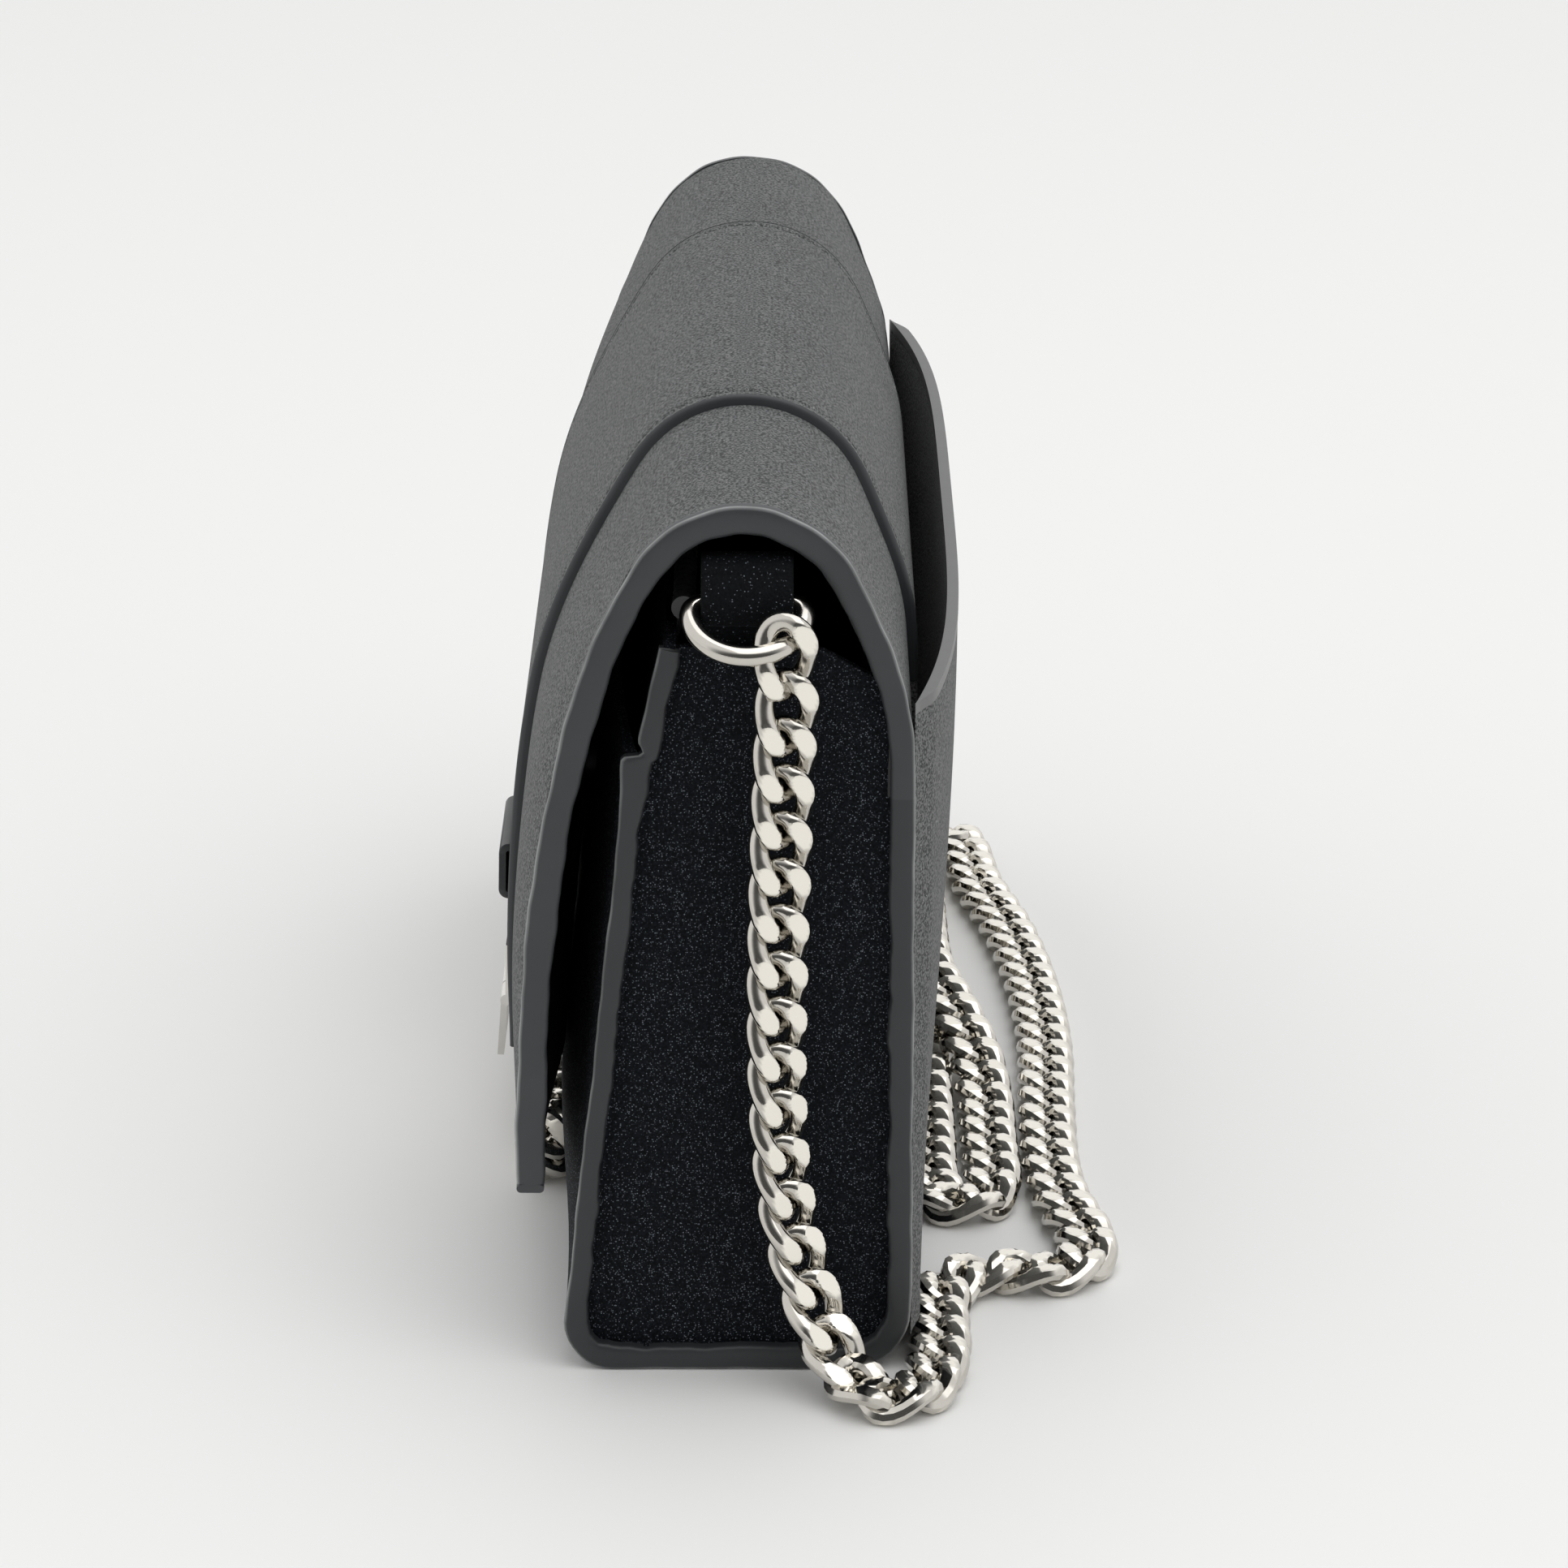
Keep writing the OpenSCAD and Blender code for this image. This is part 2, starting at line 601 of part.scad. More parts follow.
// A flat pull that lies along the coil, with a barrel round the slider's pin
module zip_pull() {
  neck = 2.4;
  color("silver") on_slider() translate([0, 0, pull_z]) difference() {
    union() {
      rotate([90, 0, 0]) cylinder(r = eye_r + eye_wall, h = pull_barrel, center = true);
      translate([0, -pull_barrel / 2, -pull_t / 2]) cube([neck, pull_barrel, pull_t]);
      translate([neck, -pull_w / 2, -pull_t / 2]) cube([pull_l - neck, pull_w, pull_t]);
    }
    rotate([90, 0, 0]) cylinder(r = eye_r + running, h = pull_w, center = true);
  }
}

// A strap sewn inside the end panel that goes over its top and folds round the ring's bar
module right_ring_tab() {
  color("#17181a") translate([0, ring_y + tab_w / 2, 0]) rotate([90, 0, 0]) linear_extrude(height = tab_w)
    difference() {
      union() {
        translate([bar_x, bar_z]) circle(r = tab_fold);
        translate([bar_x - tab_t, bar_z]) square([2 * tab_t, tab_top - bar_z]);
        translate([tab_back - tab_t, tab_top - tab_t]) square([bar_x - tab_back + tab_t, tab_t]);
        translate([tab_back - tab_t, gusset_top - tab_sewn]) square([tab_t, tab_top - gusset_top + tab_sewn]);
      }
      translate([bar_x, bar_z]) circle(r = ring_wire + running);
    }
}

module left_ring_tab() {
  mirrored() right_ring_tab();
}

module at_right_bar() {
  translate([bar_x, ring_y, bar_z]) rotate([0, -ring_tilt, 0]) children();
}

module right_ring() {
  color("gainsboro") at_right_bar() union() {
    rotate([90, 0, 0]) cylinder(r = ring_wire, h = 2 * ring_bow, center = true);
    for (s = [-1, 1]) translate([0, s * ring_bow, 0]) {
      sphere(r = ring_wire);
      translate([0, 0, -ring_leg]) cylinder(r = ring_wire, h = ring_leg);
    }
    translate([0, 0, -ring_leg]) rotate([0, 90, 0]) rotate([0, 0, -90])
      rotate_extrude(angle = 180) translate([ring_bow, 0]) circle(r = ring_wire);
  }
}

module left_ring() {
  mirrored() right_ring();
}

module right_end_link() {
  color("gainsboro") at_right_bar()
    translate([0, link_hang * sin(link_swing), -ring_leg - link_hang * cos(link_swing)])
      rotate([link_swing - 90, 0, 0]) rotate_extrude() translate([link_bow, 0]) circle(r = link_wire);
}

module left_end_link() {
  mirrored() right_end_link();
}

module flap_fold() {
  color("#232427") along_x(-sewn, sewn) translate([fold_y, fold_z]) circle(r = fold_r);
}

module flap_panel() {
  color("#2b2c30") flap_layer(flap_x, 0, flap_steps, 0, flap_leather);
}

module flap_lining() {
  color("#1b1c1f") flap_layer(flap_x, 0, flap_steps, flap_leather, flap_t);
}

module right_flap_edge() {
  color("#2a2c30") flap_layer([sewn, half], 0, flap_steps, 0, flap_t);
}

module left_flap_edge() {
  mirrored() right_flap_edge();
}

module flap_front_edge() {
  down = flap_dir(flap_steps) * hem;
  drop = function(x, k, depth) flap_point(x, flap_steps, depth) + [0, down[0], down[1]] * k;
  color("#2a2c30") soft_panel(
    flap_x, 1, function(x, k) drop(x, k, 0), function(x, k) drop(x, k, flap_t)
  );
}

module flap_band() {
  color("#2b2c30") flap_layer(band_x, 1, flap_steps, -band_t, 0);
}

// A flattened tube of leather across the front, open at both ends
module band_loop() {
  module pill(w, h) {
    for (s = [-1, 1]) translate([0, s * (h - w) / 2]) circle(d = w);
    square([w, h - w], center = true);
  }
  color("#1b1c1f") on_flap_face(clasp_h - clasp_drop + loop_gap + loop_h / 2)
    along_x(-loop_w / 2, loop_w / 2) translate([-loop_d / 2, 0]) difference() {
      pill(loop_d, loop_h);
      pill(loop_d - 2 * loop_t, loop_h - 2 * loop_t);
    }
}

module flap_snap() {
  socket_d = stud_h + socket_deep;
  color("silver") translate(snap_face) rotate([-90 - snap_lean, 0, 0]) translate([0, 0, seat]) difference() {
    cylinder(r = snap_r, h = snap_t);
    translate([0, 0, snap_t - socket_d]) cylinder(r = stud_r + socket_play, h = 2 * socket_d);
  }
}

// Fixed plate of the clasp, with a knuckle at each end
knuckle_r = pin_r + knuckle_wall;
module clasp_plate() {
  color("gainsboro") on_flap_face(-clasp_drop) difference() {
    union() {
      translate([-clasp_w / 2, -clasp_t, 0]) cube([clasp_w, clasp_t, clasp_h]);
      for (x = [-clasp_w / 2, clasp_w / 2 - knuckle_w])
        translate([x, -knuckle_r, 0]) rotate([0, 90, 0]) cylinder(r = knuckle_r, h = knuckle_w);
    }
    translate([-clasp_w, -knuckle_r, 0]) rotate([0, 90, 0]) cylinder(r = pin_r, h = 2 * clasp_w);
    translate([-clasp_w / 2 + knuckle_w, -2 * knuckle_r, -knuckle_r])
      cube([clasp_w - 2 * knuckle_w, 2 * knuckle_r, 2 * knuckle_r + seat]);
  }
}

module clasp_pin() {
  color("silver") on_flap_face(-clasp_drop) translate([-clasp_w / 2, -knuckle_r, 0]) rotate([0, 90, 0])
    cylinder(r = pin_r, h = clasp_w);
}

// Lever of the clasp, with one long knuckle between the plate's two
module clasp_lever() {
  lever_w = clasp_w - 2 * knuckle_w - 2 * seat;
  color("gainsboro") on_flap_face(-clasp_drop)
    translate([0, -knuckle_r, 0]) rotate([-lever_flare, 0, 0]) difference() {
      union() {
        rotate([0, 90, 0]) cylinder(r = knuckle_r, h = lever_w, center = true);
        translate([-lever_w / 2, -knuckle_r, -lever_h]) cube([lever_w, clasp_t, lever_h]);
      }
      rotate([0, 90, 0]) cylinder(r = pin_r + running, h = 2 * clasp_w, center = true);
    }
}

module chain_right_hang() {
  color("lightgray") chain(0, right_foot);
}

module chain_floor() {
  color("lightgray") chain(right_foot, left_foot);
}

module chain_left_hang() {
  color("lightgray") chain(left_foot, len(strap) - 1);
}

front_wall();
back_wall();
base_panel();
right_gusset();
left_gusset();
right_body_edge();
left_body_edge();
front_pocket_panel();
back_pocket_panel();
back_pocket_edge();
base_board();
body_lining();
inner_pocket();
band_tail();
body_snap();
front_zip_tape();
back_zip_tape();
front_zip_coil();
back_zip_coil();
zip_stops();
zip_slider();
zip_pull();
right_ring_tab();
left_ring_tab();
right_ring();
left_ring();
right_end_link();
left_end_link();
flap_fold();
flap_panel();
flap_lining();
right_flap_edge();
left_flap_edge();
flap_front_edge();
flap_band();
band_loop();
flap_snap();
clasp_plate();
clasp_pin();
clasp_lever();
chain_right_hang();
chain_floor();
chain_left_hang();
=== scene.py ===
"""Dresses a small flap shoulder bag on a curb chain strap around its packed solids.

Metres. X runs along the bag, -Y is the front, +Z is up, and the origin is the middle of the base
on the floor that the bag stands on.
"""

import logging
import math
from dataclasses import dataclass
from enum import Enum

import bmesh
import bpy
import numpy as np
from mathutils import Matrix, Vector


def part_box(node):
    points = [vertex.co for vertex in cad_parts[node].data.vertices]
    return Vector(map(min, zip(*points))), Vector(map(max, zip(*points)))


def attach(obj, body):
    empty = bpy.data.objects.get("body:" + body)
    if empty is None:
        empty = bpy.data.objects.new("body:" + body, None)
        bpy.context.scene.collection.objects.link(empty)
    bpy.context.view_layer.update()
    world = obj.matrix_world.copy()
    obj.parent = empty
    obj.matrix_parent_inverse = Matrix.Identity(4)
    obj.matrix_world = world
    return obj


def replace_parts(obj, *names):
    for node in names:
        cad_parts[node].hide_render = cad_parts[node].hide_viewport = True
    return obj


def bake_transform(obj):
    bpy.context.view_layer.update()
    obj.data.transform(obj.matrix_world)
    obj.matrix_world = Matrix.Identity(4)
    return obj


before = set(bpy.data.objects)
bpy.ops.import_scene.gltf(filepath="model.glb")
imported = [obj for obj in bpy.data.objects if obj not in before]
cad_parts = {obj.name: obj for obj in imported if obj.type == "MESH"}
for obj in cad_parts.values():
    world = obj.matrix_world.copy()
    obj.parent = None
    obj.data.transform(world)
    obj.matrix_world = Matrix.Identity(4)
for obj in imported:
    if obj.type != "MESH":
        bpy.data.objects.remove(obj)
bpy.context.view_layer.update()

LOG = logging.getLogger("bag")
MM = 0.001
# Angle in degrees above which an edge isn't smoothed, and the distance below which points are one.
SHARP = 50.0
WELD = 1e-7
# The right end and the left end, as signs of X.
SIDES = (1, -1)
# Share, pitch and phase of each sine in a hand-cut wobble.
WAVES = ((0.5, 1.0, 1.0), (0.32, 2.3, 2.1), (0.18, 5.1, 3.7))
# Numbers of the Mix node's two colour inputs, and of its colour output.
MIX_COLOURS = (6, 7)
MIX_RESULT = 2
X_AXIS = np.array([1.0, 0.0, 0.0])
Y_AXIS = np.array([0.0, 1.0, 0.0])

Array = np.ndarray
Triple = tuple[float, float, float]
Route = tuple[Triple, ...]
Socket = bpy.types.NodeSocket
Feed = Socket | float | Triple


class Body(str, Enum):
    """The bodies that the pieces move with."""

    BAG = "body"
    FLAP = "flap"
    RIGHT = "right_hanger"
    LEFT = "left_hanger"

    @classmethod
    def hanger(cls, side: int) -> "Body":
        """The hanger at one end: 1 is the right end, -1 the left."""
        return cls.RIGHT if side > 0 else cls.LEFT


class Slot(str, Enum):
    """The record's material slots."""

    LEATHER = "shimmer_leather"
    DARK = "shimmer_dark"
    EDGE = "painted_edge"
    UNDERSIDE = "flap_underside"
    LINING = "lining_cloth"
    BOARD = "board"
    TAPE = "zip_tape"
    COIL = "zip_coil"
    CHAIN = "nickel_chain"
    HARDWARE = "nickel_hardware"


def end_word(side: int) -> str:
    """The word for an end of the bag: right for 1, left for -1."""
    return "right" if side > 0 else "left"


def ease(t: Array) -> Array:
    """Goes from 0 to 1 with a level start and end: 3 t squared less 2 t cubed."""
    c = np.clip(t, 0.0, 1.0)
    return c * c * (3.0 - 2.0 * c)


def mound(t: Array) -> Array:
    """A smooth bump of height 1 about 0: e to the power of minus t squared."""
    return np.exp(-(t**2))


def unit(v: Array) -> Array:
    """Scales each vector in the last axis to length 1."""
    return v / np.linalg.norm(v, axis=-1, keepdims=True)


@dataclass(frozen=True)
class Wobble:
    """A hand-cut wobble of an edge: its depth, its longest period, and the phase that sets it apart."""

    depth: float
    period: float
    seed: float

    def along(self, s: Array, side: int) -> Array:
        """The sum of three sines whose periods don't match.

        Args:
            s: Distances along the edge, in metres.
            side: 1 for the right end, -1 for the left, which turns the phase.

        Returns:
            Offsets of up to about the depth.
        """
        w = 2.0 * math.pi * s / self.period
        seed = self.seed * side
        return self.depth * sum(share * np.sin(pitch * w + phase * seed) for share, pitch, phase in WAVES)


def arc_lengths(line: Array) -> Array:
    """Distance along a line of points, from its first point to each of them."""
    steps = np.linalg.norm(np.diff(line, axis=0), axis=1)
    return np.concatenate([[0.0], np.cumsum(steps)])


def read_along(line: Array, s: Array, t: Array) -> Array:
    """A line's values at the distances t, where s holds the distance of each of its own points."""
    return np.stack([np.interp(t, s, line[:, i]) for i in range(line.shape[1])], axis=1)


def resample(line: Array, count: int) -> Array:
    """The same line with its points spread evenly along its length.

    Args:
        line: Points, one row each.
        count: How many points to return.

    Returns:
        An array of count rows.
    """
    s = arc_lengths(line)
    return read_along(line, s, np.linspace(0.0, s[-1], count))


def arc(centre: tuple[float, float], radius: float, start: float, stop: float, count: int) -> Array:
    """Points on a circle in the Y and Z plane: centre plus radius times cosine and sine.

    Args:
        centre: Y and Z of the middle.
        radius: Radius of the circle.
        start: First angle, in degrees.
        stop: Last angle, in degrees.
        count: How many points.

    Returns:
        An array of count rows of Y and Z.
    """
    a = np.radians(np.linspace(start, stop, count))
    return np.stack([centre[0] + radius * np.cos(a), centre[1] + radius * np.sin(a)], axis=1)


def bezier(p0: Array, p1: Array, p2: Array, p3: Array, count: int) -> Array:
    """A cubic curve pulled from p0 to p3 by p1 and p2.

    Args:
        p0: Start.
        p1: First pull.
        p2: Second pull.
        p3: End.
        count: How many points.

    Returns:
        An array of count points.
    """
    t = np.linspace(0.0, 1.0, count)[:, None]
    return (1 - t) ** 3 * p0 + 3 * t * (1 - t) ** 2 * p1 + 3 * t**2 * (1 - t) * p2 + t**3 * p3


def normals_2d(line: Array) -> Array:
    """Unit normals of a flat line, a quarter turn clockwise from its direction."""
    d = unit(np.gradient(line, axis=0))
    return np.stack([d[:, 1], -d[:, 0]], axis=1)


def spread(lo: float, hi: float, count: int, crowd: float = 0.0) -> Array:
    """Numbers from lo to hi, drawn towards both ends.

    Args:
        lo: First number.
        hi: Last number.
        count: How many.
        crowd: 0 spreads them evenly, 1 as a cosine.

    Returns:
        The numbers in order.
    """
    t = np.linspace(0.0, 1.0, count)
    t = (1 - crowd) * t + crowd * (0.5 - 0.5 * np.cos(math.pi * t))
    return lo + (hi - lo) * t


def paired(lo: Array, hi: Array) -> Array:
    """One closed ring of columns: out along lo, and back along hi."""
    return np.concatenate([lo, hi[::-1]])


def round_rect(w: float, h: float, r: float, steps: int = 3) -> Array:
    """A closed outline of a rectangle with round corners, about its middle.

    Args:
        w: Width.
        h: Height.
        r: Radius of the corners.
        steps: Points in each corner, less one.

    Returns:
        Points in order round the outline.
    """
    r = min(r, w / 2, h / 2)
    angles = np.radians(np.linspace(0.0, 90.0, steps + 1))
    corner = np.stack([np.cos(angles), np.sin(angles)], axis=1) * r
    quarter_turn = np.array([[0, 1], [-1, 0]])
    turns = [np.linalg.matrix_power(quarter_turn, i) for i in range(4)]
    centres = np.array([[1, 1], [-1, 1], [-1, -1], [1, -1]]) * np.array([w / 2 - r, h / 2 - r])
    return np.concatenate([centre + corner @ turn for centre, turn in zip(centres, turns)])


def ring_section(radius: float, sides: int) -> Array:
    """A circle as a profile."""
    a = 2 * math.pi * np.arange(sides) / sides
    return radius * np.stack([np.cos(a), np.sin(a)], axis=1)


def swept(path: Array, across: Array, out: Array, section: Array) -> Array:
    """A profile carried along a path: each ring is the path's point plus the profile in its two directions.

    Args:
        path: Points of the path.
        across: Direction of the profile's first number, for each point or for all.
        out: Direction of the profile's second number, for each point or for all.
        section: The profile, the same for all points or one for each.

    Returns:
        A grid with a ring for each point of the path.
    """
    across = np.broadcast_to(across, path.shape)
    out = np.broadcast_to(out, path.shape)
    section = np.broadcast_to(section, (len(path),) + section.shape[-2:])
    return path[:, None] + across[:, None] * section[..., :1] + out[:, None] * section[..., 1:]


def upright(y: float, z: Array) -> Array:
    """A path straight up the middle of the bag, at a place in Y."""
    return np.stack([np.zeros_like(z), np.full_like(z, y), z], axis=1)


class Surface:
    """Gathers grids of points into one closed mesh and makes its object."""

    def __init__(self, name: str) -> None:
        """Starts an empty mesh.

        Args:
            name: The piece's name.
        """
        self.name = name
        self.points: list[Array] = []
        self.faces: list[list[int]] = []
        self.marks: list[Array] = []
        self.count = 0

    def grid(
        self, points: Array, wrap_rows: bool = False, wrap_cols: bool = False, mark: Array | None = None
    ) -> Array:
        """Adds a grid of points with a quad between each four neighbours.

        Args:
            points: Rows by columns by 3.
            wrap_rows: Joins the last row to the first.
            wrap_cols: Joins the last column to the first.
            mark: A value for each point, such as how near it is to a cut line.

        Returns:
            The points' numbers in the mesh, as rows by columns.
        """
        rows, cols = points.shape[:2]
        index = np.arange(rows * cols).reshape(rows, cols) + self.count
        full = index
        if wrap_rows:
            full = np.vstack([full, full[:1]])
        if wrap_cols:
            full = np.hstack([full, full[:, :1]])
        quads = np.stack([full[:-1, :-1], full[:-1, 1:], full[1:, 1:], full[1:, :-1]], axis=-1)
        self.faces += quads.reshape(-1, 4).tolist()
        self.points.append(points.reshape(-1, 3))
        marks = np.zeros((rows, cols)) if mark is None else np.broadcast_to(mark, (rows, cols))
        self.marks.append(marks.reshape(-1))
        self.count += rows * cols
        return index

    def loop(self, points: Array, mark: Array | None = None) -> "Surface":
        """Adds a grid that closes on itself both ways, as a ring of wire does."""
        self.grid(points, wrap_rows=True, wrap_cols=True, mark=mark)
        return self

    def tube(self, points: Array, mark: Array | None = None) -> "Surface":
        """Adds a grid whose rows are closed rings, with both ends capped.

        Args:
            points: Rings by points by 3.
            mark: A value for each point.

        Returns:
            This surface.
        """
        index = self.grid(points, wrap_cols=True, mark=mark)
        self.cap(index[0])
        self.cap(index[-1])
        return self

    def cap(self, loop: Array) -> None:
        """Closes an even ring of points with quads between its two halves.

        Args:
            loop: The numbers of the ring's points.
        """
        half = len(loop) // 2
        a, b = loop[:half], loop[::-1][:half]
        self.faces += np.stack([a[:-1], a[1:], b[1:], b[:-1]], axis=-1).tolist()

    def build(self, sharp: float = SHARP) -> bpy.types.Object:
        """Makes the object, with its faces turned outwards.

        Args:
            sharp: Angle in degrees above which an edge isn't smoothed.

        Returns:
            The new object, at the origin.
        """
        mesh = bpy.data.meshes.new(self.name)
        mesh.from_pydata(np.concatenate(self.points).tolist(), [], self.faces)
        attribute = mesh.attributes.new("mark", "FLOAT", "POINT")
        attribute.data.foreach_set("value", np.concatenate(self.marks).astype(np.float32))
        shell = bmesh.new()
        shell.from_mesh(mesh)
        bmesh.ops.remove_doubles(shell, verts=shell.verts, dist=WELD)
        bmesh.ops.recalc_face_normals(shell, faces=shell.faces)
        shell.to_mesh(mesh)
        shell.free()
        mesh.shade_smooth()
        mesh.set_sharp_from_angle(angle=math.radians(sharp))
        obj = bpy.data.objects.new(self.name, mesh)
        bpy.context.scene.collection.objects.link(obj)
        return obj


def walled(name: str, outer: Array, inner: Array, x: Array) -> Surface:
    """A wall between two lines in Y and Z, carried along X.

    Args:
        name: The piece's name.
        outer: The outer line.
        inner: The inner line, with as many points.
        x: Places along X.

    Returns:
        The wall as a closed surface.
    """
    ring = paired(outer, inner)
    points = np.empty((len(x), len(ring), 3))
    points[..., 0] = x[:, None]
    points[..., 1:] = ring[None]
    return Surface(name).tube(points)


class Nodes:
    """A node tree, with short ways to add and join nodes."""

    def __init__(self, tree: bpy.types.NodeTree) -> None:
        """Takes the tree that the nodes go into."""
        self.tree = tree

    def add(self, kind: str) -> bpy.types.Node:
        """A new shader node of a kind."""
        return self.tree.nodes.new(f"ShaderNode{kind}")

    def put(self, value: Feed, socket: Socket) -> None:
        """Joins a socket to another, or sets a value on it.

        Args:
            value: A socket, or the number, vector or colour to set.
            socket: The input that takes it.
        """
        if isinstance(value, Socket):
            self.tree.links.new(value, socket)
        else:
            socket.default_value = value

    def math(self, operation: str, a: Feed, b: Feed = 0.0, clamp: bool = False) -> Socket:
        """One sum on two values.

        Args:
            operation: The sum's name.
            a: First value, a socket or a number.
            b: Second value, a socket or a number.
            clamp: Keeps the result between 0 and 1.

        Returns:
            The result's socket.
        """
        node = self.add("Math")
        node.operation = operation
        node.use_clamp = clamp
        self.put(a, node.inputs[0])
        self.put(b, node.inputs[1])
        return node.outputs[0]


class Shader(Nodes):
    """A material's node tree, with its Principled BSDF."""

    def __init__(self, name: str) -> None:
        """Starts a material with a Principled BSDF.

        Args:
            name: The material's name.
        """
        self.material = bpy.data.materials.new(name)
        self.material.use_nodes = True
        super().__init__(self.material.node_tree)
        self.bsdf = self.tree.nodes["Principled BSDF"]
        self.coords = self.add("TexCoord").outputs["Object"]

    def constants(self, values: dict[str, float | tuple]) -> None:
        """Sets numbers and colours on the BSDF's own sockets."""
        for socket, value in values.items():
            self.bsdf.inputs[socket].default_value = value

    def group(self, tree: bpy.types.NodeTree, values: dict[str, Feed]) -> bpy.types.Node:
        """Places a shared effect with this material's own values.

        Args:
            tree: The effect.
            values: What each of its inputs takes.

        Returns:
            The group's node.
        """
        node = self.add("Group")
        node.node_tree = tree
        for socket, value in {"Vector": self.coords, **values}.items():
            self.put(value, node.inputs[socket])
        return node

    def blend(self, factor: Socket, a: Socket | Triple, b: Socket | Triple) -> Socket:
        """Mixes two colours by a factor.

        Args:
            factor: 0 gives the first colour, 1 the second.
            a: First colour, a socket or a plain colour.
            b: Second colour, a socket or a plain colour.

        Returns:
            The mixed colour.
        """
        mix = self.add("Mix")
        mix.data_type = "RGBA"
        self.put(factor, mix.inputs["Factor"])
        for number, value in zip(MIX_COLOURS, (a, b)):
            self.put(value if isinstance(value, Socket) else (*value, 1.0), mix.inputs[number])
        return mix.outputs[MIX_RESULT]

    def ranged(self, value: Socket, lo: float, hi: float) -> Socket:
        """Maps a value between 0 and 1 to another range.

        Args:
            value: The value.
            lo: What 0 becomes.
            hi: What 1 becomes.

        Returns:
            The mapped value.
        """
        node = self.add("MapRange")
        for socket, feed in (("Value", value), ("To Min", lo), ("To Max", hi)):
            self.put(feed, node.inputs[socket])
        return node.outputs["Result"]

    def mark(self) -> Socket:
        """The mesh's own mark, which says how near a point is to a cut line.

        Returns:
            The mark, from 0 to 1.
        """
        node = self.add("Attribute")
        node.attribute_name = "mark"
        return node.outputs["Fac"]

    def bump(self, height: Socket, depth: float) -> None:
        """Joins a height to the BSDF's normal.

        Args:
            height: The height, from 0 to 1.
            depth: What a height of 1 measures, in metres.
        """
        node = self.add("Bump")
        self.put(depth, node.inputs["Distance"])
        self.put(height, node.inputs["Height"])
        self.join(node.outputs["Normal"], "Normal")

    def join(self, value: Socket, socket: str) -> None:
        """Joins a value to one of the BSDF's sockets."""
        self.put(value, self.bsdf.inputs[socket])


class Group(Nodes):
    """A shared effect as a shader node group, with named sockets."""

    def __init__(self, name: str, inputs: dict[str, float], outputs: list[str]) -> None:
        """Makes the group with a Vector input, number inputs and number outputs.

        Args:
            name: The group's name.
            inputs: Each input's name and usual value.
            outputs: The outputs' names.
        """
        super().__init__(bpy.data.node_groups.new(name, "ShaderNodeTree"))
        sockets = self.tree.interface
        sockets.new_socket("Vector", in_out="INPUT", socket_type="NodeSocketVector")
        for label, value in inputs.items():
            socket = sockets.new_socket(label, in_out="INPUT", socket_type="NodeSocketFloat")
            socket.default_value = value
        for label in outputs:
            sockets.new_socket(label, in_out="OUTPUT", socket_type="NodeSocketFloat")
        self.given = self.tree.nodes.new("NodeGroupInput").outputs
        self.result = self.tree.nodes.new("NodeGroupOutput").inputs

    def noise(self, scale: Feed, detail: float) -> Socket:
        """Cloudy noise on the group's vector.

        Args:
            scale: Clouds for each metre.
            detail: How many finer layers lie on them.

        Returns:
            The noise, about a half.
        """
        node = self.add("TexNoise")
        for socket, feed in (("Vector", self.given["Vector"]), ("Scale", scale), ("Detail", detail)):
            self.put(feed, node.inputs[socket])
        return node.outputs["Fac"]

    def cells(self, scale: Feed, askew: Triple = (0.6, 0.9, 0.4)) -> tuple[Socket, Socket]:
        """Random cells on the group's vector.

        Args:
            scale: Cells for each metre.
            askew: Turns that keep the cells' grid out of line with the panels, in radians.

        Returns:
            The distance from each cell's middle, and the cell's random value.
        """
        turn = self.add("Mapping")
        self.put(self.given["Vector"], turn.inputs["Vector"])
        self.put(askew, turn.inputs["Rotation"])
        node = self.add("TexVoronoi")
        self.put(turn.outputs["Vector"], node.inputs["Vector"])
        self.put(scale, node.inputs["Scale"])
        split = self.add("SeparateColor")
        self.put(node.outputs["Color"], split.inputs["Color"])
        return node.outputs["Distance"], split.outputs["Red"]


def nap_group() -> bpy.types.NodeTree:
    """Suede nap with glitter: soft clouds, a fine pile, and specks in a share of small random cells.

    Returns:
        A group with Shade, Speck and Height.
    """
    cloud_scale, cloud_share = 38.0, 0.3
    pile_middle, pile_strength, level = 0.5, 6.0, 0.35
    speck_size, speck_contrast = 0.42, 2.0
    usual = {"Pile": 2600.0, "Glitter": 4600.0, "Share": 0.1}
    group = Group("suede_nap", usual, ["Shade", "Speck", "Height"])
    share = group.given["Share"]
    clouds = group.math("MULTIPLY", group.noise(cloud_scale, 4.0), cloud_share)
    pile = group.noise(group.given["Pile"], 2.0)
    strong = group.math("MULTIPLY", group.math("SUBTRACT", pile, pile_middle), pile_strength)
    distance, chance = group.cells(group.given["Glitter"])
    chosen = group.math("LESS_THAN", chance, share)
    core = group.math("LESS_THAN", distance, speck_size)
    glow = group.math("POWER", group.math("DIVIDE", chance, share), speck_contrast)
    group.put(group.math("ADD", group.math("ADD", clouds, strong), level), group.result["Shade"])
    group.put(group.math("MULTIPLY", group.math("MULTIPLY", chosen, core), glow), group.result["Speck"])
    group.put(pile, group.result["Height"])
    return group.tree


def wear_group() -> bpy.types.NodeTree:
    """Small uneven wear, in soft patches.

    Returns:
        A group with Patch.
    """
    group = Group("soft_wear", {"Patch Scale": 120.0}, ["Patch"])
    group.put(group.noise(group.given["Patch Scale"], 4.0), group.result["Patch"])
    return group.tree


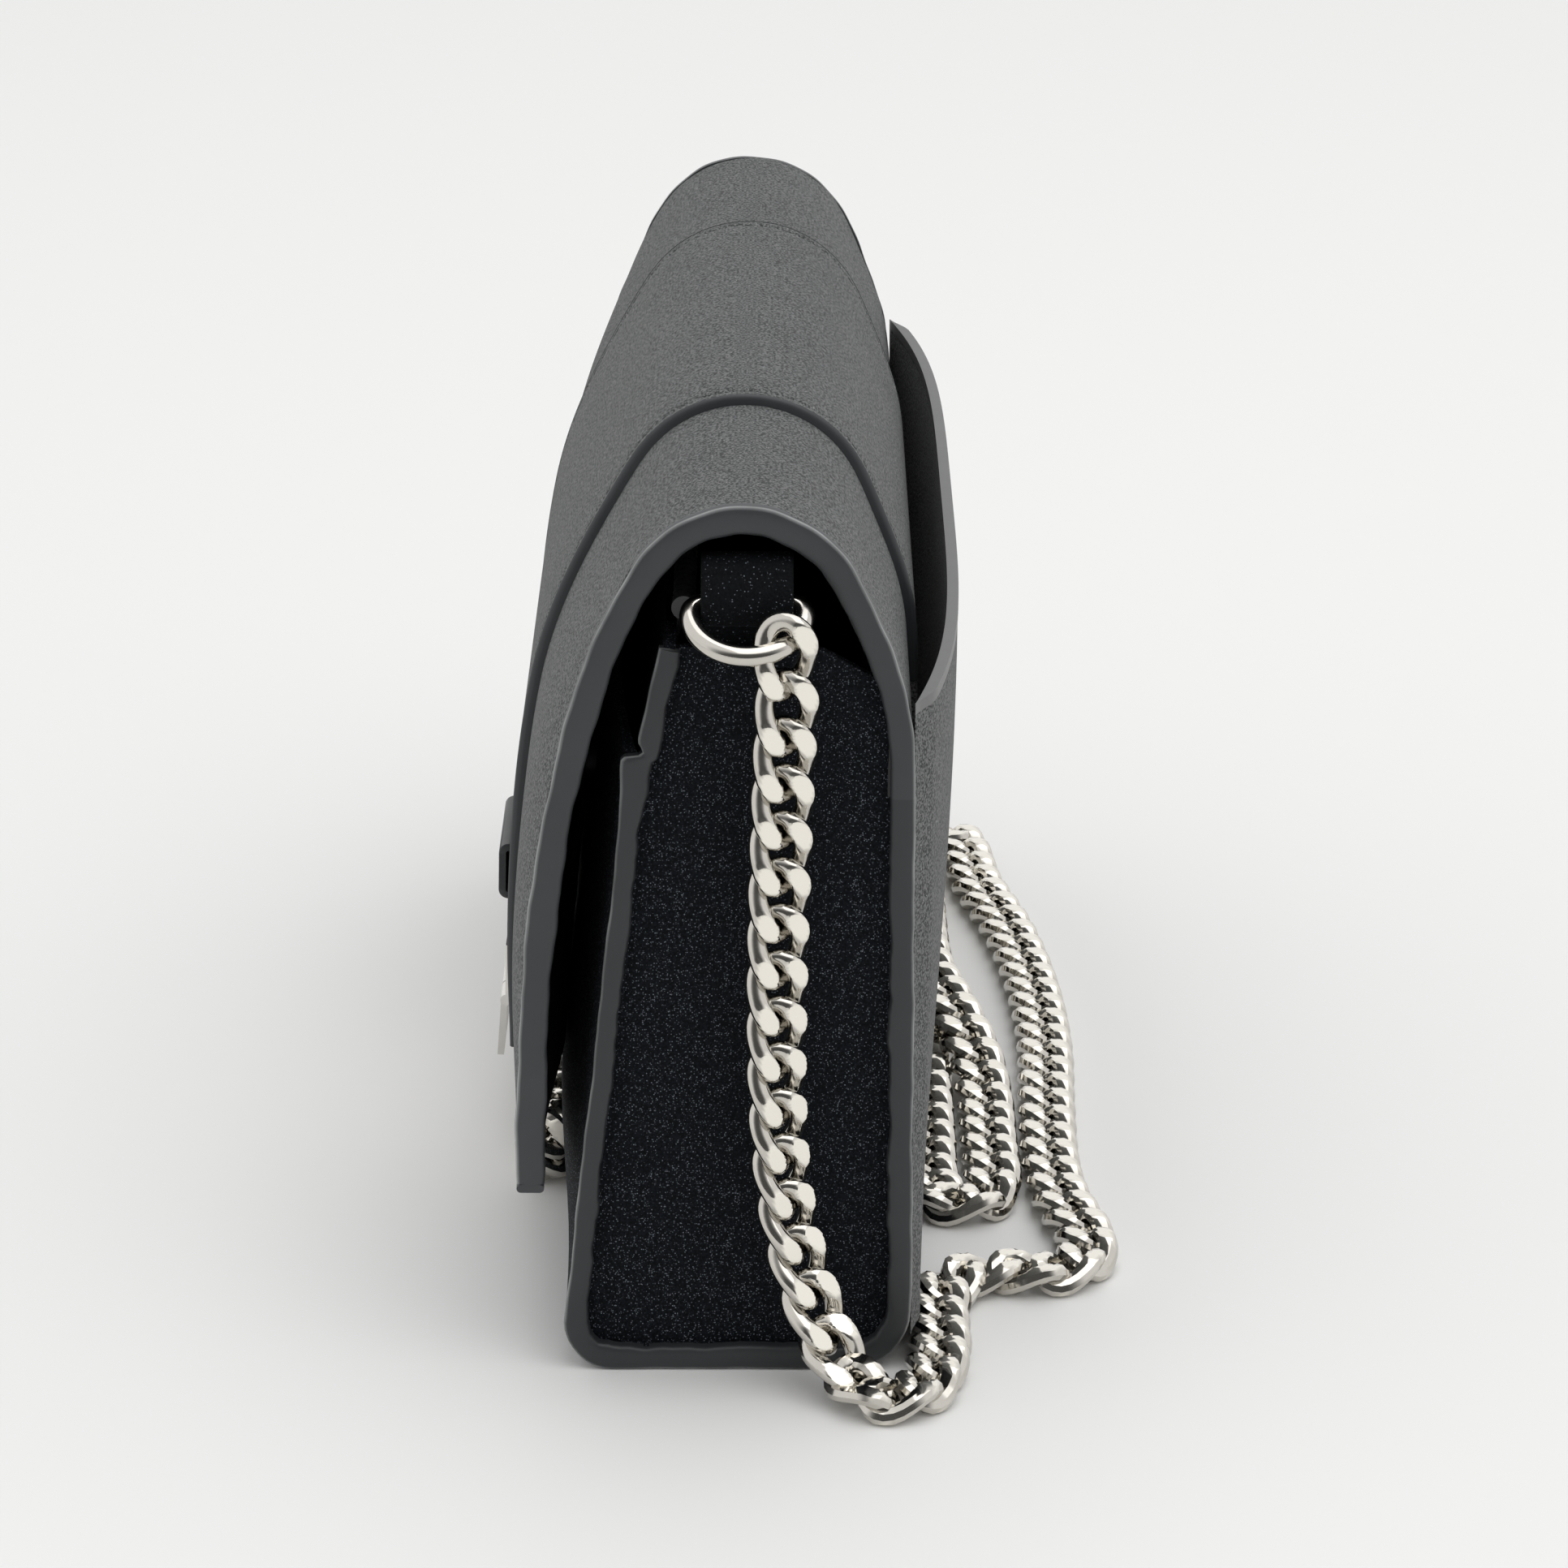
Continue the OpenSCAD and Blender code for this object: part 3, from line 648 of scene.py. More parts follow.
def weave_group() -> bpy.types.NodeTree:
    """Plain weave: the product of two crossed rows of waves, on X and on the sum of Y and Z.

    Returns:
        A group with Thread, from 0 to 1.
    """
    group = Group("plain_weave", {"Threads": 9000.0}, ["Thread"])
    threads = group.given["Threads"]
    split = group.add("SeparateXYZ")
    group.put(group.given["Vector"], split.inputs["Vector"])
    along = group.math("SINE", group.math("MULTIPLY", split.outputs["X"], threads))
    rise = group.math("ADD", split.outputs["Y"], split.outputs["Z"])
    over = group.math("SINE", group.math("MULTIPLY", rise, threads))
    product = group.math("MULTIPLY", along, over)
    group.put(group.math("ADD", group.math("MULTIPLY", product, 0.5), 0.5), group.result["Thread"])
    return group.tree


@dataclass(frozen=True)
class Suede:
    """Leather with a short sparkling nap: share says how many specks it has, raw how many more at a cut."""

    name: str
    slot: Slot
    low: Triple
    high: Triple
    speck: Triple
    share: float
    raw: float = 0.0
    sheen: float = 0.0
    rough: tuple[float, float] = (0.85, 0.5)
    relief: float = 0.15 * MM

    def material(self, nap: bpy.types.NodeTree) -> bpy.types.Material:
        """Builds the material from the shared nap.

        Args:
            nap: The nap's group.

        Returns:
            The material.
        """
        shader = Shader(self.name)
        share = shader.ranged(shader.mark(), self.share, self.share + self.raw)
        node = shader.group(nap, {"Share": share})
        pile = shader.blend(node.outputs["Shade"], self.low, self.high)
        shader.join(shader.blend(node.outputs["Speck"], pile, self.speck), "Base Color")
        shader.join(shader.ranged(node.outputs["Speck"], *self.rough), "Roughness")
        shader.bump(node.outputs["Height"], self.relief)
        shader.constants({"Sheen Weight": self.sheen, "Sheen Roughness": 0.5, "Specular IOR Level": 0.16})
        return shader.material


@dataclass(frozen=True)
class EdgePaint:
    """Satin paint on a cut edge, with a pale broken line where the leather's cut shows through."""

    name: str
    slot: Slot
    colour: Triple
    worn: Triple
    cut: Triple
    rough: tuple[float, float] = (0.36, 0.54)
    broken: tuple[float, float] = (-0.1, 1.8)
    relief: float = 0.12 * MM

    def material(self, wear: bpy.types.NodeTree) -> bpy.types.Material:
        """Builds the material from the shared wear and the mesh's cut-line mark.

        Args:
            wear: The wear's group.

        Returns:
            The material.
        """
        shader = Shader(self.name)
        patch = shader.group(wear, {}).outputs["Patch"]
        paint = shader.blend(patch, self.colour, self.worn)
        bare = shader.math("MULTIPLY", shader.mark(), shader.ranged(patch, *self.broken), clamp=True)
        shader.join(shader.blend(bare, paint, self.cut), "Base Color")
        shader.join(shader.ranged(patch, *self.rough), "Roughness")
        shader.bump(patch, self.relief)
        shader.constants({"Specular IOR Level": 0.5})
        return shader.material


@dataclass(frozen=True)
class Nickel:
    """Polished warm nickel with faint wear, and a painted glint: a brighter colour where a facet is cut."""

    name: str
    slot: Slot
    bright: Triple
    dull: Triple
    facet: Triple
    rough: tuple[float, float]
    patches: float = 260.0
    relief: float = 0.01 * MM

    def material(self, wear: bpy.types.NodeTree) -> bpy.types.Material:
        """Builds the material from the shared wear and the mesh's mark, which says where a facet is cut.

        Args:
            wear: The wear's group.

        Returns:
            The material.
        """
        shader = Shader(self.name)
        patch = shader.group(wear, {"Patch Scale": self.patches}).outputs["Patch"]
        worn = shader.blend(patch, self.bright, self.dull)
        # Painted glint: the flat cuts take a colour brighter than the nickel itself.
        shader.join(shader.blend(shader.mark(), worn, self.facet), "Base Color")
        shader.join(shader.ranged(patch, *self.rough), "Roughness")
        shader.bump(patch, self.relief)
        shader.constants({"Metallic": 1.0})
        return shader.material


@dataclass(frozen=True)
class Cloth:
    """Plain woven cloth or tape, with so many threads in 2 pi metres."""

    name: str
    slot: Slot
    warp: Triple
    weft: Triple
    threads: float
    rough: tuple[float, float] = (0.9, 0.7)
    relief: float = 0.08 * MM

    def material(self, weave: bpy.types.NodeTree) -> bpy.types.Material:
        """Builds the material from the shared weave.

        Args:
            weave: The weave's group.

        Returns:
            The material.
        """
        shader = Shader(self.name)
        thread = shader.group(weave, {"Threads": self.threads}).outputs["Thread"]
        shader.join(shader.blend(thread, self.warp, self.weft), "Base Color")
        shader.join(shader.ranged(thread, *self.rough), "Roughness")
        shader.bump(thread, self.relief)
        shader.constants({"Sheen Weight": 0.15})
        return shader.material


Finish = Suede | EdgePaint | Nickel | Cloth


class Wardrobe:
    """All the bag's finishes, each made once."""

    # Painted sheen and top light: the end panels' black suede, lightened to charcoal and given brighter
    # specks, for the flap, band and back pocket whose nap is seen at a slant.
    leather = Suede(
        "suede_painted_sheen", Slot.LEATHER, (0.04, 0.0425, 0.0425), (0.17, 0.175, 0.174), (0.42, 0.42, 0.41),
        share=0.05, raw=0.3, sheen=0.06,
    )
    dark = Suede(
        "black_suede", Slot.DARK, (0.0012, 0.002, 0.0034), (0.0045, 0.0062, 0.0092), (0.165, 0.185, 0.215),
        share=0.42,
    )
    # Painted shade: the end panels' black suede made darker and given fewer specks, for the tab in the
    # shade under the flap.
    tab = Suede(
        "tab_suede_painted_shade", Slot.DARK, (0.0008, 0.0012, 0.002), (0.0025, 0.0035, 0.005), (0.165, 0.185, 0.215),
        share=0.13,
    )
    edge = EdgePaint(
        "edge_paint", Slot.EDGE, (0.025, 0.0278, 0.0306), (0.0435, 0.0472, 0.05), cut=(0.34, 0.35, 0.35)
    )
    # Painted shade: the flap edges' paint at about 0.7 of its brightness, for the body's edges, which are
    # darker towards the floor.
    body_edge = EdgePaint(
        "body_edge_painted_shade", Slot.EDGE, (0.0175, 0.0194, 0.0214), (0.03, 0.0326, 0.035), cut=(0.3, 0.31, 0.31)
    )
    trim = EdgePaint(
        "pocket_edge_paint", Slot.EDGE, (0.1, 0.103, 0.102), (0.15, 0.152, 0.15), cut=(0.26, 0.26, 0.26)
    )
    under = EdgePaint(
        "flap_lining_leather", Slot.UNDERSIDE, (0.008, 0.008, 0.009), (0.014, 0.014, 0.015),
        cut=(0.03, 0.03, 0.03),
    )
    lining = Cloth("lining_cloth", Slot.LINING, (0.03, 0.03, 0.034), (0.055, 0.055, 0.06), threads=7000.0)
    tape = Cloth("zip_tape", Slot.TAPE, (0.004, 0.004, 0.005), (0.014, 0.014, 0.016), threads=11000.0)
    board = Cloth("base_board", Slot.BOARD, (0.24, 0.2, 0.14), (0.32, 0.27, 0.2), threads=3000.0)
    coil = EdgePaint(
        "zip_coil", Slot.COIL, (0.055, 0.055, 0.058), (0.085, 0.085, 0.09), cut=(0.1, 0.1, 0.1)
    )
    # Its third colour is a painted glint on the links' flat cuts.
    chain = Nickel(
        "chain_nickel", Slot.CHAIN, (0.66, 0.635, 0.585), (0.54, 0.515, 0.47), (0.88, 0.845, 0.765),
        rough=(0.06, 0.16),
    )
    hardware = Nickel(
        "clasp_nickel", Slot.HARDWARE, (0.76, 0.74, 0.7), (0.66, 0.64, 0.6), (0.8, 0.78, 0.74),
        rough=(0.1, 0.24),
    )
    loop = EdgePaint(
        "loop_leather_finish", Slot.LEATHER, (0.017, 0.019, 0.021), (0.032, 0.035, 0.037),
        cut=(0.1, 0.1, 0.1),
    )
    snap = Nickel(
        "snap_gunmetal", Slot.HARDWARE, (0.05, 0.05, 0.052), (0.035, 0.035, 0.037), (0.06, 0.06, 0.06),
        rough=(0.25, 0.4),
    )

    def __init__(self) -> None:
        """Makes the shared effects and the materials."""
        wear = wear_group()
        groups = {Suede: nap_group(), EdgePaint: wear, Nickel: wear, Cloth: weave_group()}
        finishes = [f for f in vars(Wardrobe).values() if type(f) in groups]
        self.made = {f.name: f.material(groups[type(f)]) for f in finishes}

    def dress(self, obj: bpy.types.Object, finish: Finish) -> None:
        """Gives a piece its finish.

        Args:
            obj: The piece, or a packed node.
            finish: Its finish.
        """
        obj.data.materials.clear()
        obj.data.materials.append(self.made[finish.name])

    def dress_nodes(self, finish: Finish, *nodes: str) -> None:
        """Gives packed nodes that stay in sight their finish."""
        for node in nodes:
            self.dress(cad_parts[node], finish)

    def complete(
        self, piece: Surface, finish: Finish, body: Body, *nodes: str, sharp: float = SHARP
    ) -> bpy.types.Object:
        """Makes a surface a finished piece.

        Args:
            piece: The surface.
            finish: Its finish.
            body: The body that it moves with.
            nodes: The solids that it stands for.
            sharp: Angle in degrees above which an edge isn't smoothed.

        Returns:
            The piece.
        """
        obj = piece.build(sharp)
        self.dress(obj, finish)
        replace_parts(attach(obj, body.value), *nodes)
        return obj


@dataclass(frozen=True)
class BagShape:
    """The bag's outlines, in the Y and Z plane and along X."""

    length: float = 210 * MM
    height: float = 128 * MM
    depth: float = 50 * MM
    wall: float = 1.6 * MM
    panel: float = 1.5 * MM
    front_corner: float = 7 * MM
    back_corner: float = 9 * MM
    corner_lead: float = 1 * MM
    front_lean: float = 10.6 * MM
    mouth_setback: float = 15.6 * MM
    mouth_drop: float = 20 * MM
    front_reveal: float = 16 * MM
    edge_width: float = 1.2 * MM
    edge_proud: float = 0.12 * MM
    edge_lap: float = 0.25 * MM
    edge_calm: float = 12 * MM
    gusset_recess: float = 2.8 * MM
    gusset_wall: float = 1.6 * MM
    gusset_drop: float = 25 * MM
    band_w: float = 105 * MM
    band_t: float = 1.5 * MM
    front_points: int = 24
    corner_points: int = 9
    back_points: int = 20

    @property
    def half(self) -> float:
        """Half the bag's length."""
        return self.length / 2

    @property
    def sewn(self) -> float:
        """Where the leather ends and the painted edge begins, along X."""
        return self.half - self.edge_width

    @property
    def front(self) -> float:
        """Y of the front foot."""
        return -self.depth / 2

    @property
    def back(self) -> float:
        """Y of the back wall's outer face."""
        return self.depth / 2

    @property
    def strip(self) -> float:
        """Thickness of wall and panel together."""
        return self.wall + self.panel

    @property
    def front_top(self) -> float:
        """Height of the front wall's top edge."""
        return self.height - self.mouth_drop

    @property
    def pocket_top(self) -> float:
        """Height of the front pocket's mouth."""
        return self.front_top - self.front_reveal

    def front_y(self, z: Array) -> Array:
        """The front's outer face: a lean up to the pocket's mouth, then a steeper one.

        Args:
            z: Heights.

        Returns:
            Y at each height.
        """
        low = self.front + self.front_lean * z / self.pocket_top
        rise = (z - self.pocket_top) / self.front_reveal
        high = self.front + self.front_lean + (self.mouth_setback - self.panel - self.front_lean) * rise
        return np.where(z <= self.pocket_top, low, high)

    def base_line(self, inset: float) -> Array:
        """The two lower corners, each a quarter of a circle.

        Args:
            inset: Distance inside the outer faces.

        Returns:
            Points in Y and Z, from front to back.
        """
        front, back = self.front_corner, self.back_corner
        lean = float(self.front_y(np.array(front)))
        low = arc((lean + front, front), front - inset, 180, 270, self.corner_points)
        high = arc((self.back - back, back), back - inset, 270, 360, self.corner_points)
        return np.concatenate([low, high])

    def body_line(self, inset: float, front_z: float, back_z: float) -> Array:
        """Front, base and back as one line.

        Args:
            inset: Distance inside the outer faces.
            front_z: Height where it starts at the front.
            back_z: Height where it stops at the back.

        Returns:
            Points in Y and Z, from the front's top to the back's top.
        """
        z = np.linspace(front_z, self.front_corner + self.corner_lead, self.front_points)
        front = np.stack([self.front_y(z) + inset, z], axis=1)
        z = np.linspace(self.back_corner + self.corner_lead, back_z, self.back_points)
        back = np.stack([np.full_like(z, self.back - inset), z], axis=1)
        return np.concatenate([front, self.base_line(inset), back])


@dataclass(frozen=True)
class FlapShape:
    """The flap's line over the top, from the back wall to its front edge."""

    bag: BagShape
    leather: float = 2.2 * MM
    lining: float = 1.5 * MM
    arch_r: float = 17.7 * MM
    arch_y: float = 1.4 * MM
    arch_back: float = 20.0
    arch_front: float = 30.0
    tip_z: float = 28.5 * MM
    stand: float = 5.6 * MM
    fullness: float = 3 * MM
    hem_fullness: float = 2.2 * MM
    squareness: tuple[float, float] = (9.0, 2.4)
    rounding: tuple[float, float] = (0.72, 0.99)
    smoothing: float = 3 * MM
    swell_top: float = 0.45
    pull_out: float = 1.0
    pull_down: float = 0.32
    tail_z: float = 86 * MM
    bend_z: float = 92 * MM
    lead_in: float = 9 * MM
    lead_up: float = 10 * MM
    drawn: float = 1.2 * MM
    drawn_z: float = 101 * MM
    drawn_reach: float = 6.5 * MM
    pad: float = 3.5 * MM
    pad_end: float = 45 * MM
    pad_start: float = 0.7
    pad_rise: float = 0.12
    pad_hem: float = 0.05
    snap_share: float = 0.86
    snap_clear: float = 16 * MM

    @property
    def thick(self) -> float:
        """Leather and lining together."""
        return self.leather + self.lining

    @property
    def arch_z(self) -> float:
        """Height of the arch's centre."""
        return self.bag.height - self.arch_r

    def over_top(self) -> Array:
        """The line up the back wall, round the arch and down to where the front begins.

        Returns:
            Points in Y and Z.
        """
        arch = arc((self.arch_y, self.arch_z), self.arch_r, self.arch_back, 180 - self.arch_front, 40)
        turn = np.radians(self.arch_back)
        lead = arch[0] - self.lead_in * np.array([-math.sin(turn), math.cos(turn)])
        foot = np.array([self.bag.back, self.bend_z])
        bend = bezier(foot, foot + [0, self.lead_up], lead, arch[0], 30)[:-1]
        tail = np.linspace([self.bag.back, self.tail_z], foot, 6)[:-1]
        return np.concatenate([tail, bend, arch])

    def front_line(self) -> Array:
        """The front's quadratic curve, pulled out and down towards the tip.

        Returns:
            Points in Y and Z, after the arch's last.
        """
        start = self.over_top()[-1]
        tip = np.array([self.bag.front - self.stand, self.tip_z])
        pull = start + (tip - start) * [self.pull_out, self.pull_down]
        t = np.linspace(0.0, 1.0, 60)[1:, None]
        return (1 - t) ** 2 * start + 2 * t * (1 - t) * pull + t**2 * tip

    def line(self, count: int) -> tuple[Array, Array, Array]:
        """The whole line, smoothed by passes that each draw a point towards its two neighbours.

        Args:
            count: How many points.

        Returns:
            Points, inward normals, and shares from 0 on the arch to 1 at the tip.
        """
        over, front = self.over_top(), self.front_line()
        whole = np.concatenate([over, front])
        share = np.concatenate([np.zeros(len(over)), np.linspace(0.0, 1.0, len(front) + 1)[1:]])
        even = resample(np.column_stack([whole, share * MM]), count)
        gap = arc_lengths(even[:, :2])[-1] / count
        for _ in range(round(2 * (self.smoothing / gap) ** 2)):
            even[1:-1, :2] = (even[:-2, :2] + 2 * even[1:-1, :2] + even[2:, :2]) / 4
        return even[:, :2], -normals_2d(even[:, :2]), even[:, 2] / MM

    def thinned(self, line: Array) -> Array:
        """The share of their thickness that the layers keep: less in the bend at the back wall's top.

        Args:
            line: The flap's line.

        Returns:
            A share for each of its points.
        """
        bend = mound((line[:, 1] - self.drawn_z) / self.drawn_reach) * (line[:, 0] > self.arch_y)
        return 1 - bend * self.drawn / self.thick

    def padding(self, x: Array, share: Array) -> Array:
        """How far the stiffening behind the clasp pushes the lining in, low down in the middle of the flap.

        Args:
            x: Places along the bag, for the columns.
            share: How far each row is along the front.

        Returns:
            Depths, rows by columns: none at the ends, at the front edge and behind the snap.
        """
        across = ease((self.bag.sewn - np.abs(x)) / self.pad_end)[None]
        up = (ease((share - self.pad_start) / self.pad_rise) * ease((1 - share) / self.pad_hem))[:, None]
        over_snap = (1 - ease((share - self.snap_share) / self.pad_hem))[:, None]
        beside = 1 - mound((x / self.snap_clear) ** 2)[None] * over_snap
        return self.pad * across * up * beside

    def surface(self, x: Array, depth: Array, count: int = 180, padded: Array | None = None) -> Array:
        """The flap's face: the line moved in by a depth, and swollen forward in the middle of its front.

        Args:
            x: Places along the bag, for the columns.
            depth: Depth below the outer face, for the columns.
            count: Points along the line, for the rows.
            padded: How much of the padding each column takes.

        Returns:
            Rows by columns by 3.
        """
        line, inward, share = self.line(count)
        fade = ease((share - self.swell_top) / (1 - self.swell_top))
        full = (self.fullness + (self.hem_fullness - self.fullness) * fade) * ease(share / self.swell_top)
        start, stop = self.rounding
        square, soft = self.squareness
        power = square + (soft - square) * ease((share - start) / (stop - start))
        swell = full[:, None] * (1 - np.abs(x / self.bag.sewn)[None] ** power[:, None])
        deep = depth[None] * np.where(depth[None] > 0, self.thinned(line)[:, None], 1.0)
        if padded is not None:
            deep = deep + self.padding(x, share) * padded[None]
        yz = line[:, None] + inward[:, None] * deep[..., None]
        return np.stack([np.broadcast_to(x, deep.shape), yz[..., 0] - swell, yz[..., 1]], axis=-1)


@dataclass(frozen=True)
class EdgeLine:
    """A painted end edge: its line in Y and Z, its inward normals, and how deep its two borders lie."""

    line: Array
    inward: Array
    outer: Array
    inner: Array

    def strip(self, name: str, bag: BagShape, side: int) -> Surface:
        """The edge from its outer border to its inner one, domed outwards along X and marked at its cut.

        Args:
            name: The piece's name.
            bag: The bag's outlines.
            side: 1 for the right end, -1 for the left.

        Returns:
            The edge as a closed surface, no lower than the floor.
        """
        across = np.array([0.0, 0.0, 0.02, 0.05, 0.13, 0.3, 0.5, 0.7, 0.86, 0.95, 1.0, 1.0, 0.9, 0.5])
        dome = np.array([-0.6, 0.4, 0.66, 0.78, 0.92, 1.0, 1.02, 1.0, 0.92, 0.76, 0.4, -0.6, -0.6, -0.6])
        cut = np.zeros(len(across))
        cut[2:4] = 1.0, 0.5
        depth = self.outer[:, None] + (self.inner - self.outer)[:, None] * across[None]
        yz = self.line[:, None] + self.inward[:, None] * depth[..., None]
        yz[..., 1] = np.maximum(yz[..., 1], 0.0)
        x = np.broadcast_to(side * (bag.sewn + dome * bag.edge_width), depth.shape)
        return Surface(name).tube(np.concatenate([x[..., None], yz], axis=-1), mark=cut[None])


@dataclass
class BodyPanels:
    """Walls, base, end panels, pockets and their painted edges."""

    bag: BagShape
    wardrobe: Wardrobe
    front_bulge: float = 3.9 * MM
    front_fill: float = 24 * MM
    front_gap: float = 0.1 * MM
    snap_dent: float = 1.3 * MM
    snap_z: float = 53 * MM
    snap_reach: float = 13 * MM
    belly: float = 1.0 * MM
    belly_z: float = 24 * MM
    belly_h: float = 14 * MM
    belly_foot: float = 3 * MM
    pocket_bulge: float = 6.2 * MM
    pocket_taper: float = 7 * MM
    pocket_thin: float = 0.06
    mouth_z: float = 99.5 * MM
    mouth_edge: float = 1.6 * MM
    mouth_proud: float = 0.08 * MM
    seam_z: float = 10 * MM
    seam_tuck: float = 5 * MM
    dish: float = 1.4 * MM
    dish_power: float = 0.6
    crease: float = 0.35 * MM
    creases: float = 9.0
    crease_lean: float = 40.0
    gusset_rise: float = 4.2 * MM
    gusset_fall: float = 5 * MM
    gusset_foot: float = 0.05 * MM
    gusset_tuck: float = 0.2 * MM
    fall_across: float = 0.6
    fall_up: float = 0.8
    step: tuple[float, float] = (0.3 * MM, 0.9 * MM)
    notch: float = 0.9 * MM
    notch_fade: float = 9 * MM
    notch_dip: float = 1.0 * MM
    dip_up: float = 1.1 * MM
    dip_reach: float = 0.8 * MM
    front_slim: float = 0.55 * MM
    slim_fade: float = 10 * MM
    slim_foot: float = 8 * MM
    slim_rise: float = 12 * MM
    wall_spread: float = 0.6 * MM
    wall_over: float = 2 * MM
    edge_top: float = 86 * MM
    edge_points: int = 420
    edge_sharp: float = 75.0
    outer_wobble: Wobble = Wobble(0.16 * MM, 31 * MM, 1.3)
    inner_wobble: Wobble = Wobble(0.26 * MM, 23 * MM, 2.9)
    inner_lumps: Wobble = Wobble(0.15 * MM, 9 * MM, 5.3)
    tail_h: float = 45 * MM
    tail_over: float = 4 * MM
    tail_round: float = 0.5 * MM

    def shell(self) -> bpy.types.Object:
        """Front wall, base and back wall as one bent sheet between two lines, one strip apart.

        Returns:
            The finished piece.
        """
        bag = self.bag
        top = self.edge_top + self.wall_over
        outer = bag.body_line(0.0, bag.front_top, top)
        outer[: bag.front_points, 0] += bag.panel
        inner = bag.body_line(bag.strip, bag.front_top, top)
        piece = walled("body_shell", outer, inner, np.linspace(-bag.sewn, bag.sewn, 25))
        solids = ("front_wall", "back_wall", "base_panel")
        return self.wardrobe.complete(piece, self.wardrobe.dark, Body.BAG, *solids)

    def front_pocket(self) -> bpy.types.Object:
        """The front panel: the front's line moved out by a swell, full from a little above the base.

        A mound low down makes its belly, and another round its snap dents it.

        Returns:
            The finished piece.
        """
        bag = self.bag
        z = np.linspace(bag.pocket_top, bag.front_corner, 30)[:, None]
        columns = spread(-bag.sewn, bag.sewn, 41, 0.4)
        ring_x = paired(columns, columns)
        depth = paired(np.zeros_like(columns), np.full_like(columns, bag.panel - self.front_gap))
        up = z - bag.front_corner
        rise = ease(up / self.front_fill)
        belly = self.belly * mound((z - self.belly_z) / self.belly_h) * ease(up / self.belly_foot)
        near, level = ring_x[None] / self.snap_reach, (z - self.snap_z) / self.snap_reach
        dent = self.snap_dent * mound(near) * mound(level)
        swell = (self.front_bulge * rise + belly) * (1 - (ring_x / bag.sewn) ** 4) - dent
        y = bag.front_y(z) + depth - swell
        points = np.stack(np.broadcast_arrays(ring_x[None], y, z), axis=-1)
        piece = Surface("front_pocket_leather").tube(points)
        return self.wardrobe.complete(piece, self.wardrobe.dark, Body.BAG, "front_pocket_panel")

    def pocket_swell(self, x: Array, z: Array) -> Array:
        """How far the back pocket stands off: a flat-topped curve along X, a quarter sine up to the mouth.

        Args:
            x: Places along the bag.
            z: Heights.

        Returns:
            Distances from the back wall.
        """
        rise = np.clip((z - self.seam_z) / (self.mouth_z - self.seam_z), 0.0, 1.0)
        return self.pocket_bulge * (1 - (x / self.bag.sewn) ** 4) * np.sin(math.pi / 2 * rise)

    def pocket_sheet(self, name: str, z: Array, proud: float) -> Surface:
        """A stretch of the back pocket, thinned towards both ends.

        Args:
            name: The piece's name.
            z: Its heights.
            proud: How far it stands out beyond the panel's two faces.

        Returns:
            A closed sheet.
        """
        bag = self.bag
        columns = spread(-bag.sewn, bag.sewn, 61, 0.75)
        ring_x = paired(columns, columns)
        full = ease((bag.sewn - np.abs(columns)) / self.pocket_taper)
        thin = self.pocket_thin + (1 - self.pocket_thin) * full
        out = paired((bag.panel + proud) * thin, -proud * thin)
        y = bag.back + self.pocket_swell(ring_x[None], z[:, None]) + out
        return Surface(name).tube(np.stack(np.broadcast_arrays(ring_x[None], y, z[:, None]), axis=-1))

    def back_pocket(self) -> list[bpy.types.Object]:
        """The back panel up to its mouth, and the painted edge along the mouth.

        Returns:
            The two finished pieces.
        """
        brim = self.mouth_z - self.mouth_edge
        low, high = np.linspace(self.seam_z - self.seam_tuck, brim, 40), np.linspace(brim, self.mouth_z, 5)
        panel = self.pocket_sheet("back_pocket_leather", low, 0.0)
        edge = self.pocket_sheet("back_pocket_edging", high, self.mouth_proud)
        return [
            self.wardrobe.complete(panel, self.wardrobe.leather, Body.BAG, "back_pocket_panel"),
            self.wardrobe.complete(edge, self.wardrobe.trim, Body.BAG, "back_pocket_edge"),
        ]

    def gusset(self, side: int) -> bpy.types.Object:
        """An end panel: heights by shares from the front line to the back line, dished in the middle.

        Args:
            side: 1 for the right end, -1 for the left.

        Returns:
            The finished piece.
        """
        bag = self.bag
        top = bag.height - bag.gusset_drop + self.gusset_rise
        z = spread(bag.strip + self.gusset_foot, top, 44, 0.5)[:, None]
        line = bag.body_line(bag.strip - self.gusset_tuck, top, top)
        low = int(np.argmin(line[:, 1]))
        front = np.interp(z, line[: low + 1][::-1, 1], line[: low + 1][::-1, 0])
        back = np.interp(z, line[low:, 1], line[low:, 0])
        share = spread(0.0, 1.0, 31, 0.3)
        ring = paired(share, share)
        across = np.sin(math.pi * ring)
        up = np.sin(math.pi * np.clip((z - bag.strip) / (top - bag.strip), 0, 1))
        high = z / bag.height
        fold = self.crease * np.sin(self.creases * ring + self.crease_lean * high) * across
        x = bag.half - bag.gusset_recess - self.dish * across * up**self.dish_power + fold * high
        x = x - paired(np.zeros_like(share), np.full_like(share, bag.gusset_wall))
        y = front + (back - front) * ring
        behind = ease((ring - self.fall_across) / (1 - self.fall_across))
        drop = -self.gusset_fall * behind * ease((z / top - self.fall_up) / (1 - self.fall_up))
        points = np.stack(np.broadcast_arrays(side * x, y, z + drop), axis=-1)
        piece = Surface(f"{end_word(side)}_end_panel").tube(points)
        return self.wardrobe.complete(piece, self.wardrobe.dark, Body.BAG, f"{end_word(side)}_gusset")

